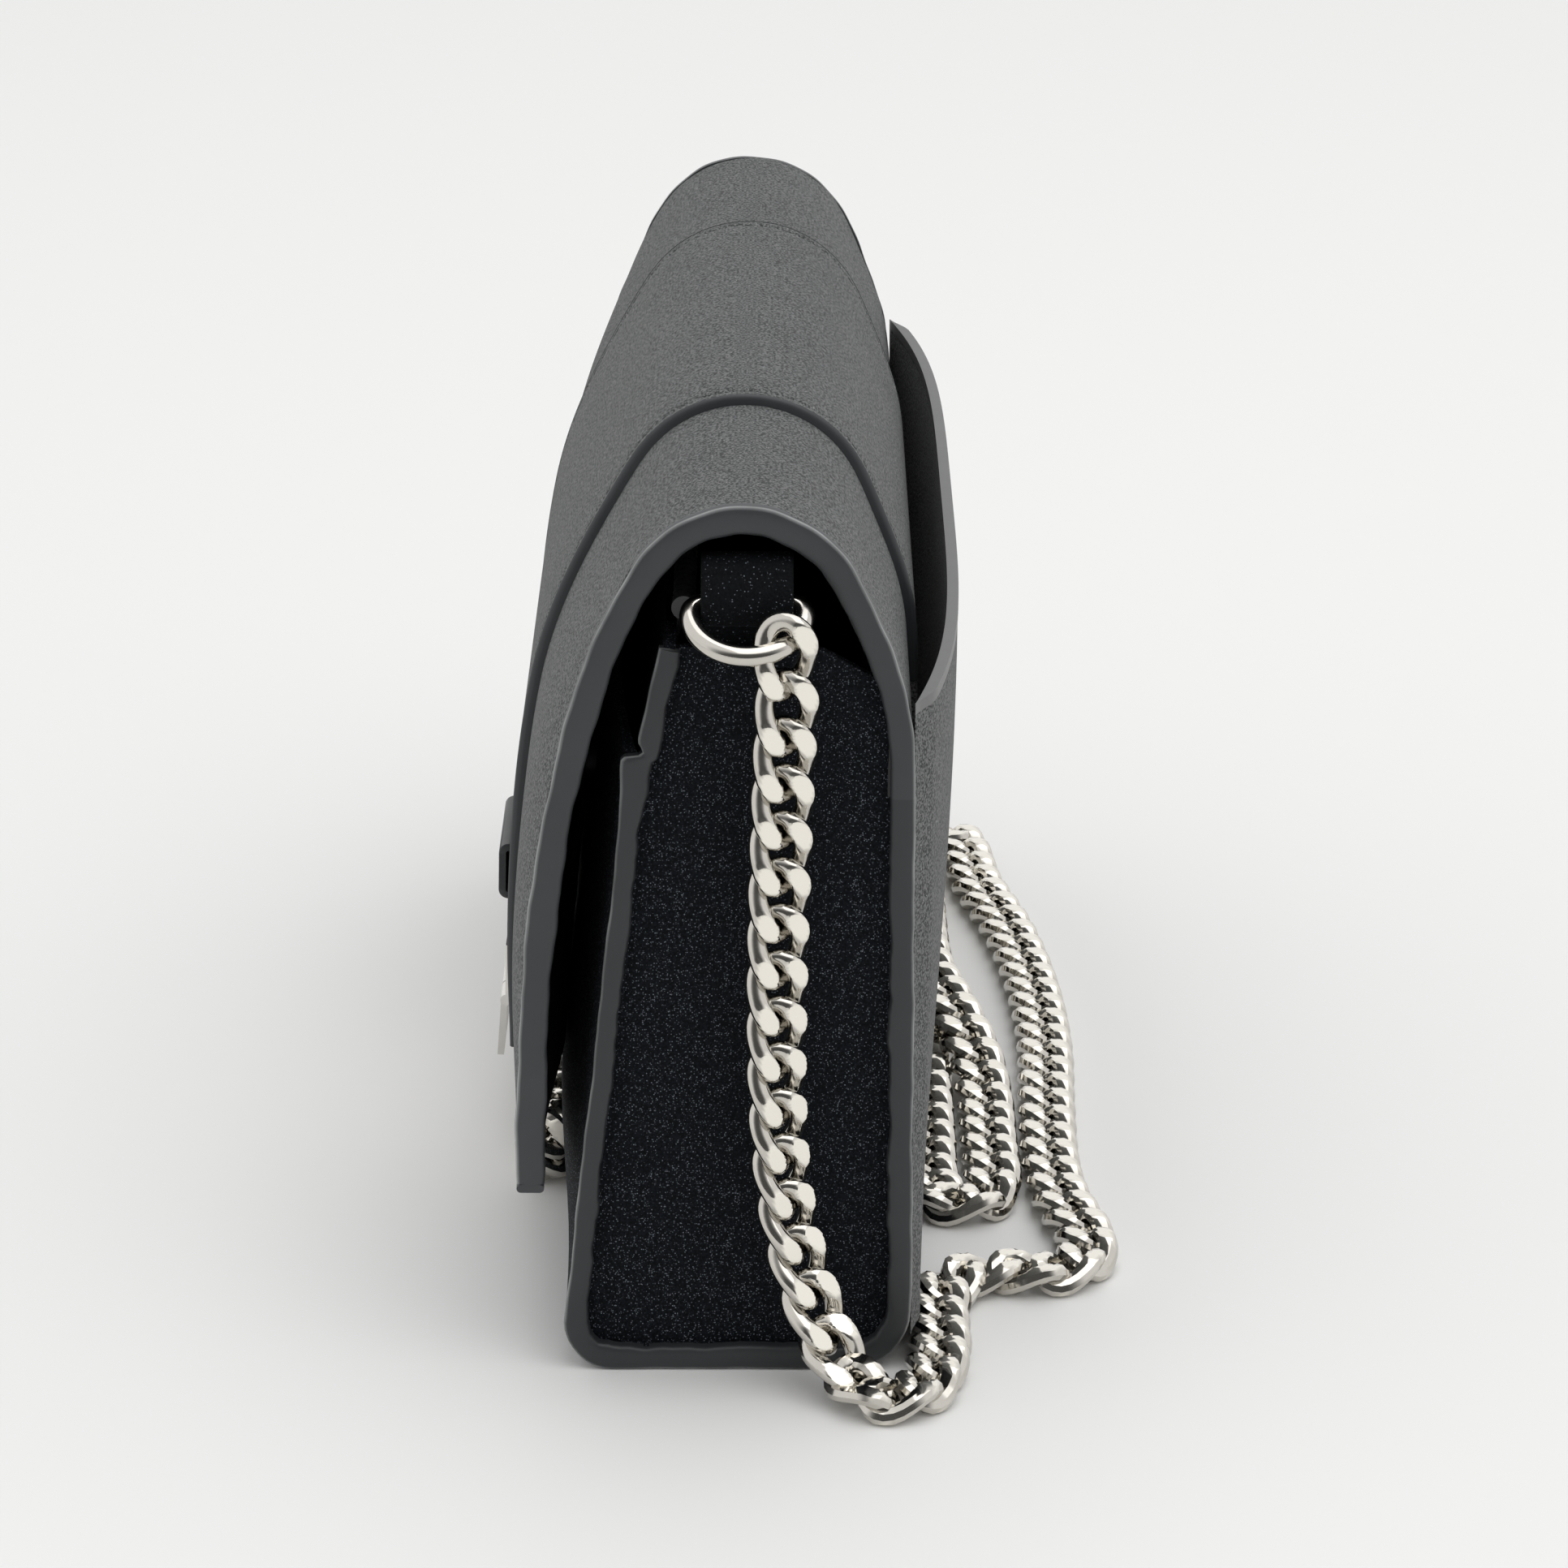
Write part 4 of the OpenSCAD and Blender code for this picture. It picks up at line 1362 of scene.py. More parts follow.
    def edge(self, side: int) -> bpy.types.Object:
        """The painted edge round one end, stepped in at the front pocket's mouth, with a hand-cut wobble.

        Args:
            side: 1 for the right end, -1 for the left.

        Returns:
            The finished piece.
        """
        bag = self.bag
        line = resample(bag.body_line(0.0, bag.front_top, self.edge_top), self.edge_points)
        s = arc_lengths(line)
        calm = ease((s[-1] - s) / bag.edge_calm)
        at_front = line[:, 0] < 0
        over = line[:, 1] - bag.pocket_top
        bare = ease((over + self.step[0]) / self.step[1]) * at_front
        lip = self.notch * np.exp(-np.clip(-over, 0, None) / self.notch_fade) * (1 - bare) * at_front
        dip = self.notch_dip * mound((over - self.dip_up) / self.dip_reach) * at_front
        outer = (bag.panel - self.wall_spread) * bare - lip + dip - bag.edge_proud
        outer = outer + self.outer_wobble.along(s, side) * calm
        above = ease((line[:, 1] - self.slim_foot) / self.slim_rise)
        slim = self.front_slim * ease(-over / self.slim_fade) * above * at_front
        inner = bag.strip + bag.edge_lap + self.wall_spread * bare - slim
        inner = inner + (self.inner_wobble.along(s, side) + self.inner_lumps.along(s, side)) * calm
        word = end_word(side)
        piece = EdgeLine(line, -normals_2d(line), outer, inner).strip(f"{word}_body_edging", bag, side)
        # The body's edges take the darker copy of the edge paint, which is painted shade.
        finish = self.wardrobe.body_edge
        return self.wardrobe.complete(piece, finish, Body.BAG, f"{word}_body_edge", sharp=self.edge_sharp)

    def band_tail(self) -> bpy.types.Object:
        """The band's lower end inside the back pocket: a flat strip with round edges.

        Returns:
            The finished piece.
        """
        bag = self.bag
        z = np.linspace(self.mouth_z - self.tail_h, self.edge_top + self.tail_over, 12)
        section = round_rect(bag.band_w, bag.band_t, self.tail_round)
        rings = swept(upright(bag.back + bag.band_t / 2, z), X_AXIS, Y_AXIS, section)
        piece = Surface("band_tail_leather").tube(rings)
        return self.wardrobe.complete(piece, self.wardrobe.leather, Body.BAG, "band_tail")

    def build(self) -> list[bpy.types.Object]:
        """Makes every panel of the body."""
        pieces = [self.shell(), self.front_pocket(), *self.back_pocket(), self.band_tail()]
        return pieces + [make(side) for make in (self.gusset, self.edge) for side in SIDES]


@dataclass
class Flap:
    """The flap with its lining, painted edges and centre band."""

    bag: BagShape
    shape: FlapShape
    wardrobe: Wardrobe
    crease_in: float = 2.6 * MM
    crease_w: float = 0.8 * MM
    crease_d: float = 0.4 * MM
    band_round: float = 0.5 * MM
    band_sink: float = 0.3 * MM
    hem: float = 1.2 * MM
    hem_proud: float = 0.2 * MM
    hem_round: float = 0.6 * MM
    raw_edge: float = 1.4 * MM
    seam: float = 0.02 * MM
    grow_from: float = 18 * MM
    grow_over: float = 16 * MM
    edge_points: int = 320
    edge_sharp: float = 75.0
    band_sharp: float = 60.0
    edging_sharp: float = 70.0
    outer_wobble: Wobble = Wobble(0.24 * MM, 34 * MM, 0.7)
    inner_wobble: Wobble = Wobble(0.25 * MM, 27 * MM, 4.4)
    fold: tuple[float, float] = (22.6 * MM, 107.4 * MM)
    fold_turn: float = 25.0
    fold_reach: tuple[float, float] = (-4 * MM, 6 * MM)

    def complete(
        self, piece: Surface, finish: Finish, *nodes: str, sharp: float = SHARP
    ) -> bpy.types.Object:
        """Makes a surface a finished piece, with its place baked into its points.

        Args:
            piece: The surface.
            finish: Its finish.
            nodes: The solids that it stands for.
            sharp: Angle in degrees above which an edge isn't smoothed.

        Returns:
            The piece.
        """
        obj = piece.build(sharp)
        self.wardrobe.dress(obj, finish)
        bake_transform(obj)
        if nodes:
            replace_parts(obj, *nodes)
        return obj

    def leather(self) -> bpy.types.Object:
        """The outer leather: the flap's face, and the same face one leather's thickness in.

        Returns:
            The finished piece.
        """
        x = spread(-self.bag.sewn, self.bag.sewn, 61, 0.7)
        ring = paired(x, x)
        depth = paired(np.zeros_like(x), np.full_like(x, self.shape.leather))
        raw = ease((np.abs(ring) - self.bag.sewn + self.raw_edge) / self.raw_edge)
        piece = Surface("flap_leather").tube(self.shape.surface(ring, depth), mark=raw[None])
        return self.complete(piece, self.wardrobe.leather, "flap_panel", "flap_fold")

    def underside(self) -> bpy.types.Object:
        """The flap's lining, from the leather's inner face to the full thickness, padded behind the clasp.

        Returns:
            The finished piece.
        """
        x = spread(-self.bag.sewn, self.bag.sewn, 41, 0.3)
        face = np.full_like(x, self.shape.leather + self.seam)
        depth = paired(face, np.full_like(x, self.shape.thick))
        padded = paired(np.zeros_like(x), np.ones_like(x))
        piece = Surface("flap_lining_sheet").tube(self.shape.surface(paired(x, x), depth, 110, padded))
        return self.complete(piece, self.wardrobe.under, "flap_lining")

    def end_edge(self, side: int) -> bpy.types.Object:
        """The painted edge along one end of the flap, which grows to the flap's full thickness.

        Args:
            side: 1 for the right end, -1 for the left.

        Returns:
            The finished piece.
        """
        bag = self.bag
        line, inward, _ = self.shape.line(self.edge_points)
        s = arc_lengths(line)
        calm = ease(s / bag.edge_calm)
        outer = -bag.edge_proud + self.outer_wobble.along(s, side) * calm
        grow = ease((s - self.grow_from) / self.grow_over) * (self.shape.thick - bag.strip)
        inner = bag.strip + bag.edge_lap + grow + self.inner_wobble.along(s, side) * calm
        word = end_word(side)
        piece = EdgeLine(line, inward, outer, inner).strip(f"{word}_flap_edging", bag, side)
        return self.complete(piece, self.wardrobe.edge, f"{word}_flap_edge", sharp=self.edge_sharp)

    def hem_edge(self) -> bpy.types.Object:
        """The painted edge along the flap's front: a round-edged strip that follows the flap's swell.

        Returns:
            The finished piece.
        """
        x = spread(-self.bag.half, self.bag.half, 61, 0.2)
        middle = len(x) // 2
        face = self.shape.surface(np.clip(x, -self.bag.sewn, self.bag.sewn), np.zeros_like(x))
        down = unit(face[-1, middle] - face[-2, middle])
        inward = np.array([0.0, -down[2], down[1]])
        inward *= np.sign(inward[1])
        thick = self.shape.thick
        section = round_rect(self.hem, thick + self.hem_proud, self.hem_round) + [self.hem / 2, thick / 2]
        path = face[-1].copy()
        path[:, 0] = x
        piece = Surface("flap_hem_edging").tube(swept(path, down, inward, section))
        return self.wardrobe.complete(piece, self.wardrobe.edge, Body.FLAP, "flap_front_edge")

    def band_profile(self) -> tuple[Array, Array]:
        """The band across its width: round edges, and a pressed crease a little inside each.

        Returns:
            Places along X and depths, for one closed ring.
        """
        thick = self.bag.band_t
        edge = np.array([0.0, 0.05, 0.2, 0.5, 1.0]) * MM
        crease = self.crease_in + self.crease_w * np.array([-1.0, -0.5, 0.0, 0.5, 1.0])
        inside = np.concatenate([edge, crease, np.array([6.0, 14.0, 26.0, 40.0]) * MM])
        lift = thick * np.sqrt(1 - (1 - np.clip(inside / self.band_round, 0, 1)) ** 2)
        lift = lift - self.crease_d * mound((inside - self.crease_in) / (0.5 * self.crease_w))
        half_x = self.bag.band_w / 2 - inside
        x = np.concatenate([-half_x, [0.0], half_x[::-1]])
        depth = -np.concatenate([lift, [thick], lift[::-1]])
        return paired(x, x), paired(depth, np.full_like(x, self.band_sink))

    def band(self) -> bpy.types.Object:
        """The centre band, laid on the flap from its front edge over the top to the back."""
        piece = Surface("flap_band_leather").tube(self.shape.surface(*self.band_profile()))
        return self.complete(piece, self.wardrobe.leather, "flap_band", sharp=self.band_sharp)

    def band_edges(self) -> bpy.types.Object:
        """The painted edge along each side of the band: a small domed outline carried along the flap.

        Returns:
            The finished piece.
        """
        past = np.array([-0.35, 0.12, 0.16, 0.12, -0.35, -0.35]) * MM
        depth = np.array([-1.56, -1.3, -0.75, 0.1, 0.1, -0.6]) * MM
        piece = Surface("band_edging")
        for side in (-1, 1):
            piece.tube(self.shape.surface(side * (self.bag.band_w / 2 + past), depth))
        return self.complete(piece, self.wardrobe.edge, sharp=self.edging_sharp)

    def build(self) -> list[bpy.types.Object]:
        """Makes the flap's soft pieces."""
        pieces = [self.leather(), self.underside(), self.hem_edge(), self.band(), self.band_edges()]
        return pieces + [self.end_edge(side) for side in SIDES]


@dataclass
class ChainStrap:
    """The curb chain, ring to ring, along the route that its solids follow.

    The route's points are in millimetres.
    """

    wardrobe: Wardrobe
    pitch: float = 6.9 * MM
    width: float = 9.2 * MM
    wire: float = 1.52 * MM
    lift: float = -1.42 * MM
    flat: float = 2.15 * MM
    clear: float = 0.02 * MM
    facet_slack: float = 1e-6
    sharp: float = 32.0
    near_fine: tuple[int, int] = (48, 24)
    floor_fine: tuple[int, int] = (24, 10)
    far_fine: tuple[int, int] = (32, 14)
    curve_points: int = 24
    path_step: int = 4
    sway: tuple[float, float] = (0.109, 0.007)
    sway_z: tuple[float, float] = (0.05, 0.105)
    right_hang: Route = (
        (110.2, 7.5, 103.8), (109.4, 7.0, 92), (108.7, 6.4, 75), (108.4, 6.0, 58), (108.4, 6.1, 42),
        (108.6, 7.2, 28), (109.6, 9.9, 16), (112.8, 13.7, 7), (118, 18, 2.5),
    )
    right_face: Route = (
        (1, 0.22, 0), (1, 0.26, 0), (1, 0.32, 0), (1, 0.5, 0), (1, 0.75, 0),
        (1, 0.9, 0.1), (1, 0.8, 0.4), (0.6, 0.3, 0.8), (0, 0, 1),
    )
    behind: Route = (
        (121, 21.4, 2.4), (118.6, 25.6, 2.4), (111, 28.4, 2.4), (101, 29.4, 2.4), (92, 29.2, 2.4),
        (84, 30, 2.4), (78, 33, 2.4), (76, 38.6, 2.4), (77.6, 45, 2.4), (74.4, 50.4, 2.4),
        (67, 52.4, 2.4), (58, 50.8, 2.4),
        (50, 49, 2.4), (38, 48, 2.4), (14, 48.2, 2.4), (-14, 49, 2.4), (-40, 48, 2.4), (-66, 45, 2.4),
        (-92, 40, 2.4), (-106, 38.8, 2.4), (-112.6, 37, 2.4), (-114.4, 34, 2.4), (-112.6, 31, 2.4),
        (-106, 29.4, 2.4), (-90, 29.2, 2.4), (-50, 29.2, 2.4), (-10, 29.2, 2.4), (28, 29.2, 2.4),
        (44, 29.4, 2.4), (50.6, 31, 2.4), (52.6, 34, 2.4), (50.6, 37, 2.4), (44, 38.6, 2.4),
        (28, 38.6, 2.4), (10, 38.6, 2.6), (-4, 37.4, 4.6), (-18, 34, 7.2), (-34, 30.8, 7.4),
        (-60, 29.8, 7.4), (-100, 29.8, 7.4), (-114, 28.4, 7.2), (-126, 24, 4), (-133, 14, 2.4),
        (-134.5, 0, 2.4), (-130, -14, 2.4), (-119, -25, 2.4), (-104, -29.4, 2.4), (-84, -29.6, 2.4),
        (-44, -29.6, 2.4), (-4, -29.6, 2.4), (24, -29.6, 2.4), (36, -29.6, 2.4),
    )
    tip: Triple = (39.6, -29.6, 4.9)
    in_front: Route = (
        (36, -29.6, 7.4), (24, -29.6, 7.4), (-4, -29.6, 7.4), (-44, -29.6, 7.4), (-84, -29.6, 7.4),
        (-108, -30, 7.4), (-115.5, -23, 6.9), (-118, -14, 5), (-119.5, -4, 2.8), (-121, 7, 2.4),
    )

    def route(self) -> tuple[Array, Array, int, int]:
        """The whole route with the way that the chain's flat side faces, and where its hanging ends stop.

        Returns:
            Points, facings, and the numbers of the right and the left foot.
        """
        right, face = np.array(self.right_hang), unit(np.array(self.right_face))
        left = right[::-1] * [-1, 1, 1]
        left_face = face[::-1] * [1, -1, -1]
        up = np.array([[0.0, 0.0, 1.0]])
        points = np.concatenate([right, self.behind, [self.tip], self.in_front, left]) * MM
        behind, in_front = up.repeat(len(self.behind), 0), -up.repeat(len(self.in_front), 0)
        facing = np.concatenate([face, behind, [-X_AXIS], in_front, left_face])
        return points, facing, len(right) - 1, len(points) - len(left)

    def smooth(self) -> tuple[Array, Array, Array]:
        """A curve through the route: between two points, the cubic whose slopes suit their neighbours.

        Returns:
            Curve points, facings, and each curve point's place in the route's own numbering.
        """
        points, facing, _, _ = self.route()
        both = np.concatenate([points, facing], axis=1)
        chord = np.linalg.norm(np.diff(points, axis=0), axis=1)[:, None]
        slope = np.diff(both, axis=0) / chord
        inner = (slope[:-1] * chord[1:] + slope[1:] * chord[:-1]) / (chord[:-1] + chord[1:])
        slopes = np.concatenate([slope[:1], inner, slope[-1:]])
        t = np.linspace(0.0, 1.0, self.curve_points, endpoint=False)[None, :, None]
        a, b, c = both[:-1, None], both[1:, None], chord[:, None]
        curve = (2 * t**3 - 3 * t**2 + 1) * a + (t**3 - 2 * t**2 + t) * c * slopes[:-1, None]
        curve = curve + (3 * t**2 - 2 * t**3) * b + (t**3 - t**2) * c * slopes[1:, None]
        curve = np.concatenate([curve.reshape(-1, 6), both[-1:]])
        last = len(points) - 1
        place = np.append((np.arange(last)[:, None] + t[0, :, 0]).reshape(-1), last)
        return curve[:, :3], curve[:, 3:], place

    def link(self, around: int, sides: int) -> Array:
        """One curb link: an oval ring that rises as the sine of twice its angle, cut flat on both faces.

        Args:
            around: Points round the oval.
            sides: Points round the wire.

        Returns:
            Points round the oval by points round the wire.
        """
        a = np.linspace(0.0, 2 * math.pi, around, endpoint=False)[:, None]
        b = np.linspace(0.0, 2 * math.pi, sides, endpoint=False)[None]
        half_l, half_w = self.pitch / 2 + self.wire, self.width / 2 - self.wire
        normal = unit(np.concatenate([np.cos(a) * half_w, np.sin(a) * half_l], axis=1))
        reach = self.wire * np.cos(b)
        x = half_l * np.cos(a) + normal[:, :1] * reach
        y = half_w * np.sin(a) + normal[:, 1:] * reach
        z = self.lift * np.sin(2 * a) + self.wire * np.sin(b)
        return np.stack([x, y, np.clip(z, -self.flat, self.flat)], axis=-1)

    def placed(self, shape: Array, centre: Array, along: Array, facing: Array) -> Array:
        """Sets a link at each of some places, turned along the chain and the way that it faces.

        Args:
            shape: The link's own points.
            centre: The middle of each link.
            along: Each link's direction along the chain.
            facing: The way that each link's flat side faces.

        Returns:
            Links by points round the oval by points round the wire by 3.
        """
        side = unit(np.cross(facing, along))
        turn = np.stack([along, side, np.cross(along, side)], axis=1)
        return centre[:, None, None] + np.einsum("ijk,nkl->nijl", shape, turn)

    def facets(self, shape: Array) -> Array:
        """Marks the points of a link that lie on its two flat cuts, which take the painted glint."""
        return (np.abs(shape[..., 2]) > self.flat - self.facet_slack).astype(float)

    def cord(
        self, name: str, node: str, first: int, last: int, fine: tuple[int, int]
    ) -> tuple[bpy.types.Object, Array]:
        """The links between two points of the route, as one piece that stays above the floor.

        Args:
            name: The piece's name.
            node: The solid that it stands for.
            first: The route's first point.
            last: The route's last point.
            fine: Points round each link's oval, and round its wire.

        Returns:
            The piece and its centreline.
        """
        curve, facing, place = self.smooth()
        s = arc_lengths(curve)
        at = np.arange(self.pitch / 2, s[-1], self.pitch)
        where = np.interp(at, s, place)
        at = at[(where >= first) & (where < last)]
        front, rear = (read_along(curve, s, at + half) for half in (self.pitch / 2, -self.pitch / 2))
        shape = self.link(*fine)
        points = self.placed(shape, 0.5 * (front + rear), unit(front - rear), read_along(facing, s, at))
        points[..., 2] += np.maximum(self.clear - points[..., 2].min(axis=(1, 2)), 0.0)[:, None, None]
        piece = Surface(name)
        for link in points:
            piece.loop(link, self.facets(shape))
        obj = piece.build(self.sharp)
        self.wardrobe.dress(obj, self.wardrobe.chain)
        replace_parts(obj, node)
        inside = (place >= first) & (place <= last)
        return obj, curve[inside][:: self.path_step]

    def build(self) -> list[bpy.types.Object]:
        """Makes the two hanging ends and the stretch on the floor.

        Returns:
            The finished pieces.
        """
        points, _, near, far = self.route()
        right, right_path = self.cord("chain_right_end", "chain_right_hang", 0, near, self.near_fine)
        floor, floor_path = self.cord("chain_on_floor", "chain_floor", near, far, self.floor_fine)
        left, left_path = self.cord("chain_left_end", "chain_left_hang", far, len(points), self.far_fine)
        for obj, side in ((right, 1), (left, -1)):
            Body.hanger(side).value
            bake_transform(obj)
        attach(floor, Body.BAG.value)
        return [right, floor, left]


@dataclass
class Hangers:
    """The ring tabs, rings and end links at both ends."""

    bag: BagShape
    wardrobe: Wardrobe
    chain: ChainStrap
    ring_y: float = 2 * MM
    bar: tuple[float, float] = (104 * MM, 114 * MM)
    wire: float = 1.5 * MM
    wire_sides: int = 16
    bow: float = 8.1 * MM
    leg: float = 1.6 * MM
    tilt: float = 58.0
    ring_points: int = 96
    corner_passes: int = 36
    tab_w: float = 12.6 * MM
    tab_t: float = 1.6 * MM
    tab_round: float = 0.45 * MM
    tab_rise: float = 6.6 * MM
    tab_foot: float = 95 * MM
    tab_fit: float = 0.06 * MM
    tab_wrap: float = 215.0
    crown: float = 0.4 * MM
    shoulders: tuple[float, float] = (1 * MM, 1.5 * MM)
    neck: tuple[float, float] = (4 * MM, 3 * MM)
    link_swing: float = 36.0
    hook_drop: float = 0.2 * MM

    def ring_frame(self, side: int) -> tuple[Array, Array, Array]:
        """Where a ring lies.

        Args:
            side: 1 for the right end, -1 for the left.

        Returns:
            The bar's middle, and the two directions of the ring's plane: along the bar, and down the ring.
        """
        lean = math.radians(self.tilt)
        middle = np.array([side * self.bar[0], self.ring_y, self.bar[1]])
        return middle, Y_AXIS, np.array([side * math.sin(lean), 0.0, -math.cos(lean)])

    def ring(self, side: int) -> bpy.types.Object:
        """A D ring: a bar, two round corners and a half circle, with a round wire carried along them.

        Args:
            side: 1 for the right end, -1 for the left.

        Returns:
            The finished piece.
        """
        middle, across, down = self.ring_frame(side)
        half = arc((0.0, self.leg), self.bow, 0, 180, 41)
        bar = np.linspace([-self.bow, 0.0], [self.bow, 0.0], 12)
        even = resample(np.concatenate([half, bar, half[:1]]), self.ring_points + 1)[:-1]
        for _ in range(self.corner_passes):
            even = (np.roll(even, 1, axis=0) + 2 * even + np.roll(even, -1, axis=0)) / 4
        tangent = unit(np.roll(even, -1, axis=0) - np.roll(even, 1, axis=0))
        normal = np.stack([tangent[:, 1], -tangent[:, 0]], axis=1)
        path = middle + even[:, :1] * across + even[:, 1:] * down
        out = normal[:, :1] * across + normal[:, 1:] * down
        rings = swept(path, out, np.cross(across, down), ring_section(self.wire, self.wire_sides))
        word, body = end_word(side), Body.hanger(side)
        piece = Surface(f"{word}_d_ring").loop(rings)
        return self.wardrobe.complete(piece, self.wardrobe.chain, body, f"{word}_ring")

    def end_link(self, side: int) -> bpy.types.Object:
        """The chain's first link, hooked on the ring's bow and pointing down the chain.

        Args:
            side: 1 for the right end, -1 for the left.

        Returns:
            The finished piece.
        """
        middle, across, down = self.ring_frame(side)
        swing = math.radians(self.link_swing)
        hook = middle + self.leg * down + self.bow * (math.sin(swing) * across + math.cos(swing) * down)
        route, facing, _, _ = self.chain.route()
        first, second = (0, 1) if side > 0 else (-1, -2)
        start, face = route[first], side * facing[first]
        along = unit(route[second] - start)
        centre = 0.5 * (start - along * self.chain.pitch / 2 + hook - along * self.hook_drop)
        shape = self.chain.link(*self.chain.near_fine)
        link = self.chain.placed(shape, centre[None], along[None], face[None])[0]
        word, body = end_word(side), Body.hanger(side)
        piece = Surface(f"{word}_first_link").loop(link, self.chain.facets(shape))
        return self.wardrobe.complete(
            piece, self.wardrobe.chain, body, f"{word}_end_link", sharp=self.chain.sharp
        )

    def tab(self, side: int) -> bpy.types.Object:
        """The leather tab: a flat strip up inside the end panel, over its top and round the ring's bar.

        Args:
            side: 1 for the right end, -1 for the left.

        Returns:
            The finished piece.
        """
        bag = self.bag
        bar_x, bar_z = self.bar
        back = bag.half - bag.gusset_recess - bag.gusset_wall - self.tab_t / 2
        front = bar_x + self.tab_t / 2
        top = bar_z + self.tab_rise - self.tab_t / 2
        inside, outside = (top - drop for drop in self.shoulders)
        crown = top + self.crown
        high, low = (bar_z + rise for rise in self.neck)
        round_r = self.wire + self.tab_t / 2 + self.tab_fit
        cheek = bar_x + round_r
        up = np.linspace([back, self.tab_foot], [back, inside], 10)
        over = bezier(*np.array([[back, inside], [back, crown], [front, crown], [front, outside]]), 12)
        lean = bezier(*np.array([[front, outside], [front, high], [cheek, low], [cheek, bar_z]]), 10)
        turn = arc(self.bar, round_r, 0, -self.tab_wrap, 24)
        flat = np.concatenate([up, over[1:], lean[1:], turn[1:]])
        path = np.stack([side * flat[:, 0], np.full(len(flat), self.ring_y), flat[:, 1]], axis=1)
        normal = normals_2d(flat)
        out = np.stack([side * normal[:, 0], np.zeros(len(flat)), normal[:, 1]], axis=1)
        section = round_rect(self.tab_w, self.tab_t, self.tab_round)
        piece = Surface(f"{end_word(side)}_tab_leather").tube(swept(path, Y_AXIS, out, section))
        # The tab takes the darker copy of the black suede, whose darkening is painted shade.
        return self.wardrobe.complete(piece, self.wardrobe.tab, Body.BAG, f"{end_word(side)}_ring_tab")

    def build(self) -> list[bpy.types.Object]:
        """Makes both hangers."""
        return [make(side) for make in (self.tab, self.ring, self.end_link) for side in SIDES]


@dataclass
class Zip:
    """The zip's tapes and coils, with the packed slider, pull and stops."""

    wardrobe: Wardrobe
    half_length: float = 95 * MM
    end_slack: float = 0.1 * MM
    coil_r: float = 1.3 * MM
    coil_spread: float = 1.25
    coil_sides: int = 12
    tooth: float = 2.4 * MM
    tooth_points: int = 6
    ridge: float = 0.28
    lean: float = 12.34
    front_coil: tuple[float, float] = (-6.80 * MM, 111.17 * MM)
    back_coil: tuple[float, float] = (20.6 * MM, 101.4 * MM)
    back_shift: float = 1.0 * MM
    tape_t: float = 0.6 * MM
    tape_h: float = 9 * MM
    tape_round: float = 0.2 * MM
    ripple: float = 0.05 * MM
    ripple_reach: float = 3 * MM

    def coil(self, name: str, node: str, centre: tuple[float, float]) -> bpy.types.Object:
        """A nylon coil: a tube along X whose radius swells once for each tooth.

        Args:
            name: The piece's name.
            node: The solid that it stands for.
            centre: Y and Z of its middle.

        Returns:
            The finished piece.
        """
        x = np.arange(-self.half_length, self.half_length + self.end_slack, self.tooth / self.tooth_points)
        swell = 1 - self.ridge + self.ridge * np.abs(np.sin(math.pi * x / self.tooth))
        across, up = self.coil_r * swell[:, None] * ring_section(1.0, self.coil_sides).T[:, None]
        y, z = centre[0] + self.coil_spread * across, centre[1] + up
        piece = Surface(name).tube(np.stack(np.broadcast_arrays(x[:, None], y, z), axis=-1))
        return self.wardrobe.complete(piece, self.wardrobe.coil, Body.BAG, node)

    def tape(self, name: str, node: str, top: tuple[float, float], lean: float) -> bpy.types.Object:
        """A woven tape: a thin strip below its coil, carried along X with a slight ripple.

        Args:
            name: The piece's name.
            node: The solid that it stands for.
            top: Y and Z of its upper edge.
            lean: How far it leans, in degrees.

        Returns:
            The finished piece.
        """
        x = np.linspace(-self.half_length, self.half_length, 90)
        turn = math.radians(lean)
        up = np.array([0.0, math.sin(turn), math.cos(turn)])
        out = np.array([0.0, math.cos(turn), -math.sin(turn)])
        ripple = self.ripple * np.sin(x / self.ripple_reach)
        path = np.stack([x, top[0] + ripple, np.full_like(x, top[1])], axis=1) - up * self.tape_h / 2
        section = round_rect(self.tape_h, self.tape_t, self.tape_round)
        piece = Surface(name).tube(swept(path, up, out, section))
        return self.wardrobe.complete(piece, self.wardrobe.tape, Body.BAG, node)

    def build(self) -> list[bpy.types.Object]:
        """Makes both halves of the zip, and dresses its packed metal.

        Returns:
            The finished pieces.
        """
        turn = math.radians(self.lean)
        y, z = self.front_coil
        front_top = (y - self.coil_r * math.sin(turn), z - self.coil_r * math.cos(turn))
        back_top = (self.back_coil[0] + self.back_shift, self.back_coil[1] - self.coil_r)
        self.wardrobe.dress_nodes(self.wardrobe.coil, "zip_stops")
        self.wardrobe.dress_nodes(self.wardrobe.hardware, "zip_slider", "zip_pull")
        return [
            self.coil("front_coil_teeth", "front_zip_coil", self.front_coil),
            self.coil("back_coil_teeth", "back_zip_coil", self.back_coil),
            self.tape("front_tape_cloth", "front_zip_tape", front_top, self.lean),
            self.tape("back_tape_cloth", "back_zip_tape", back_top, 0.0),
        ]


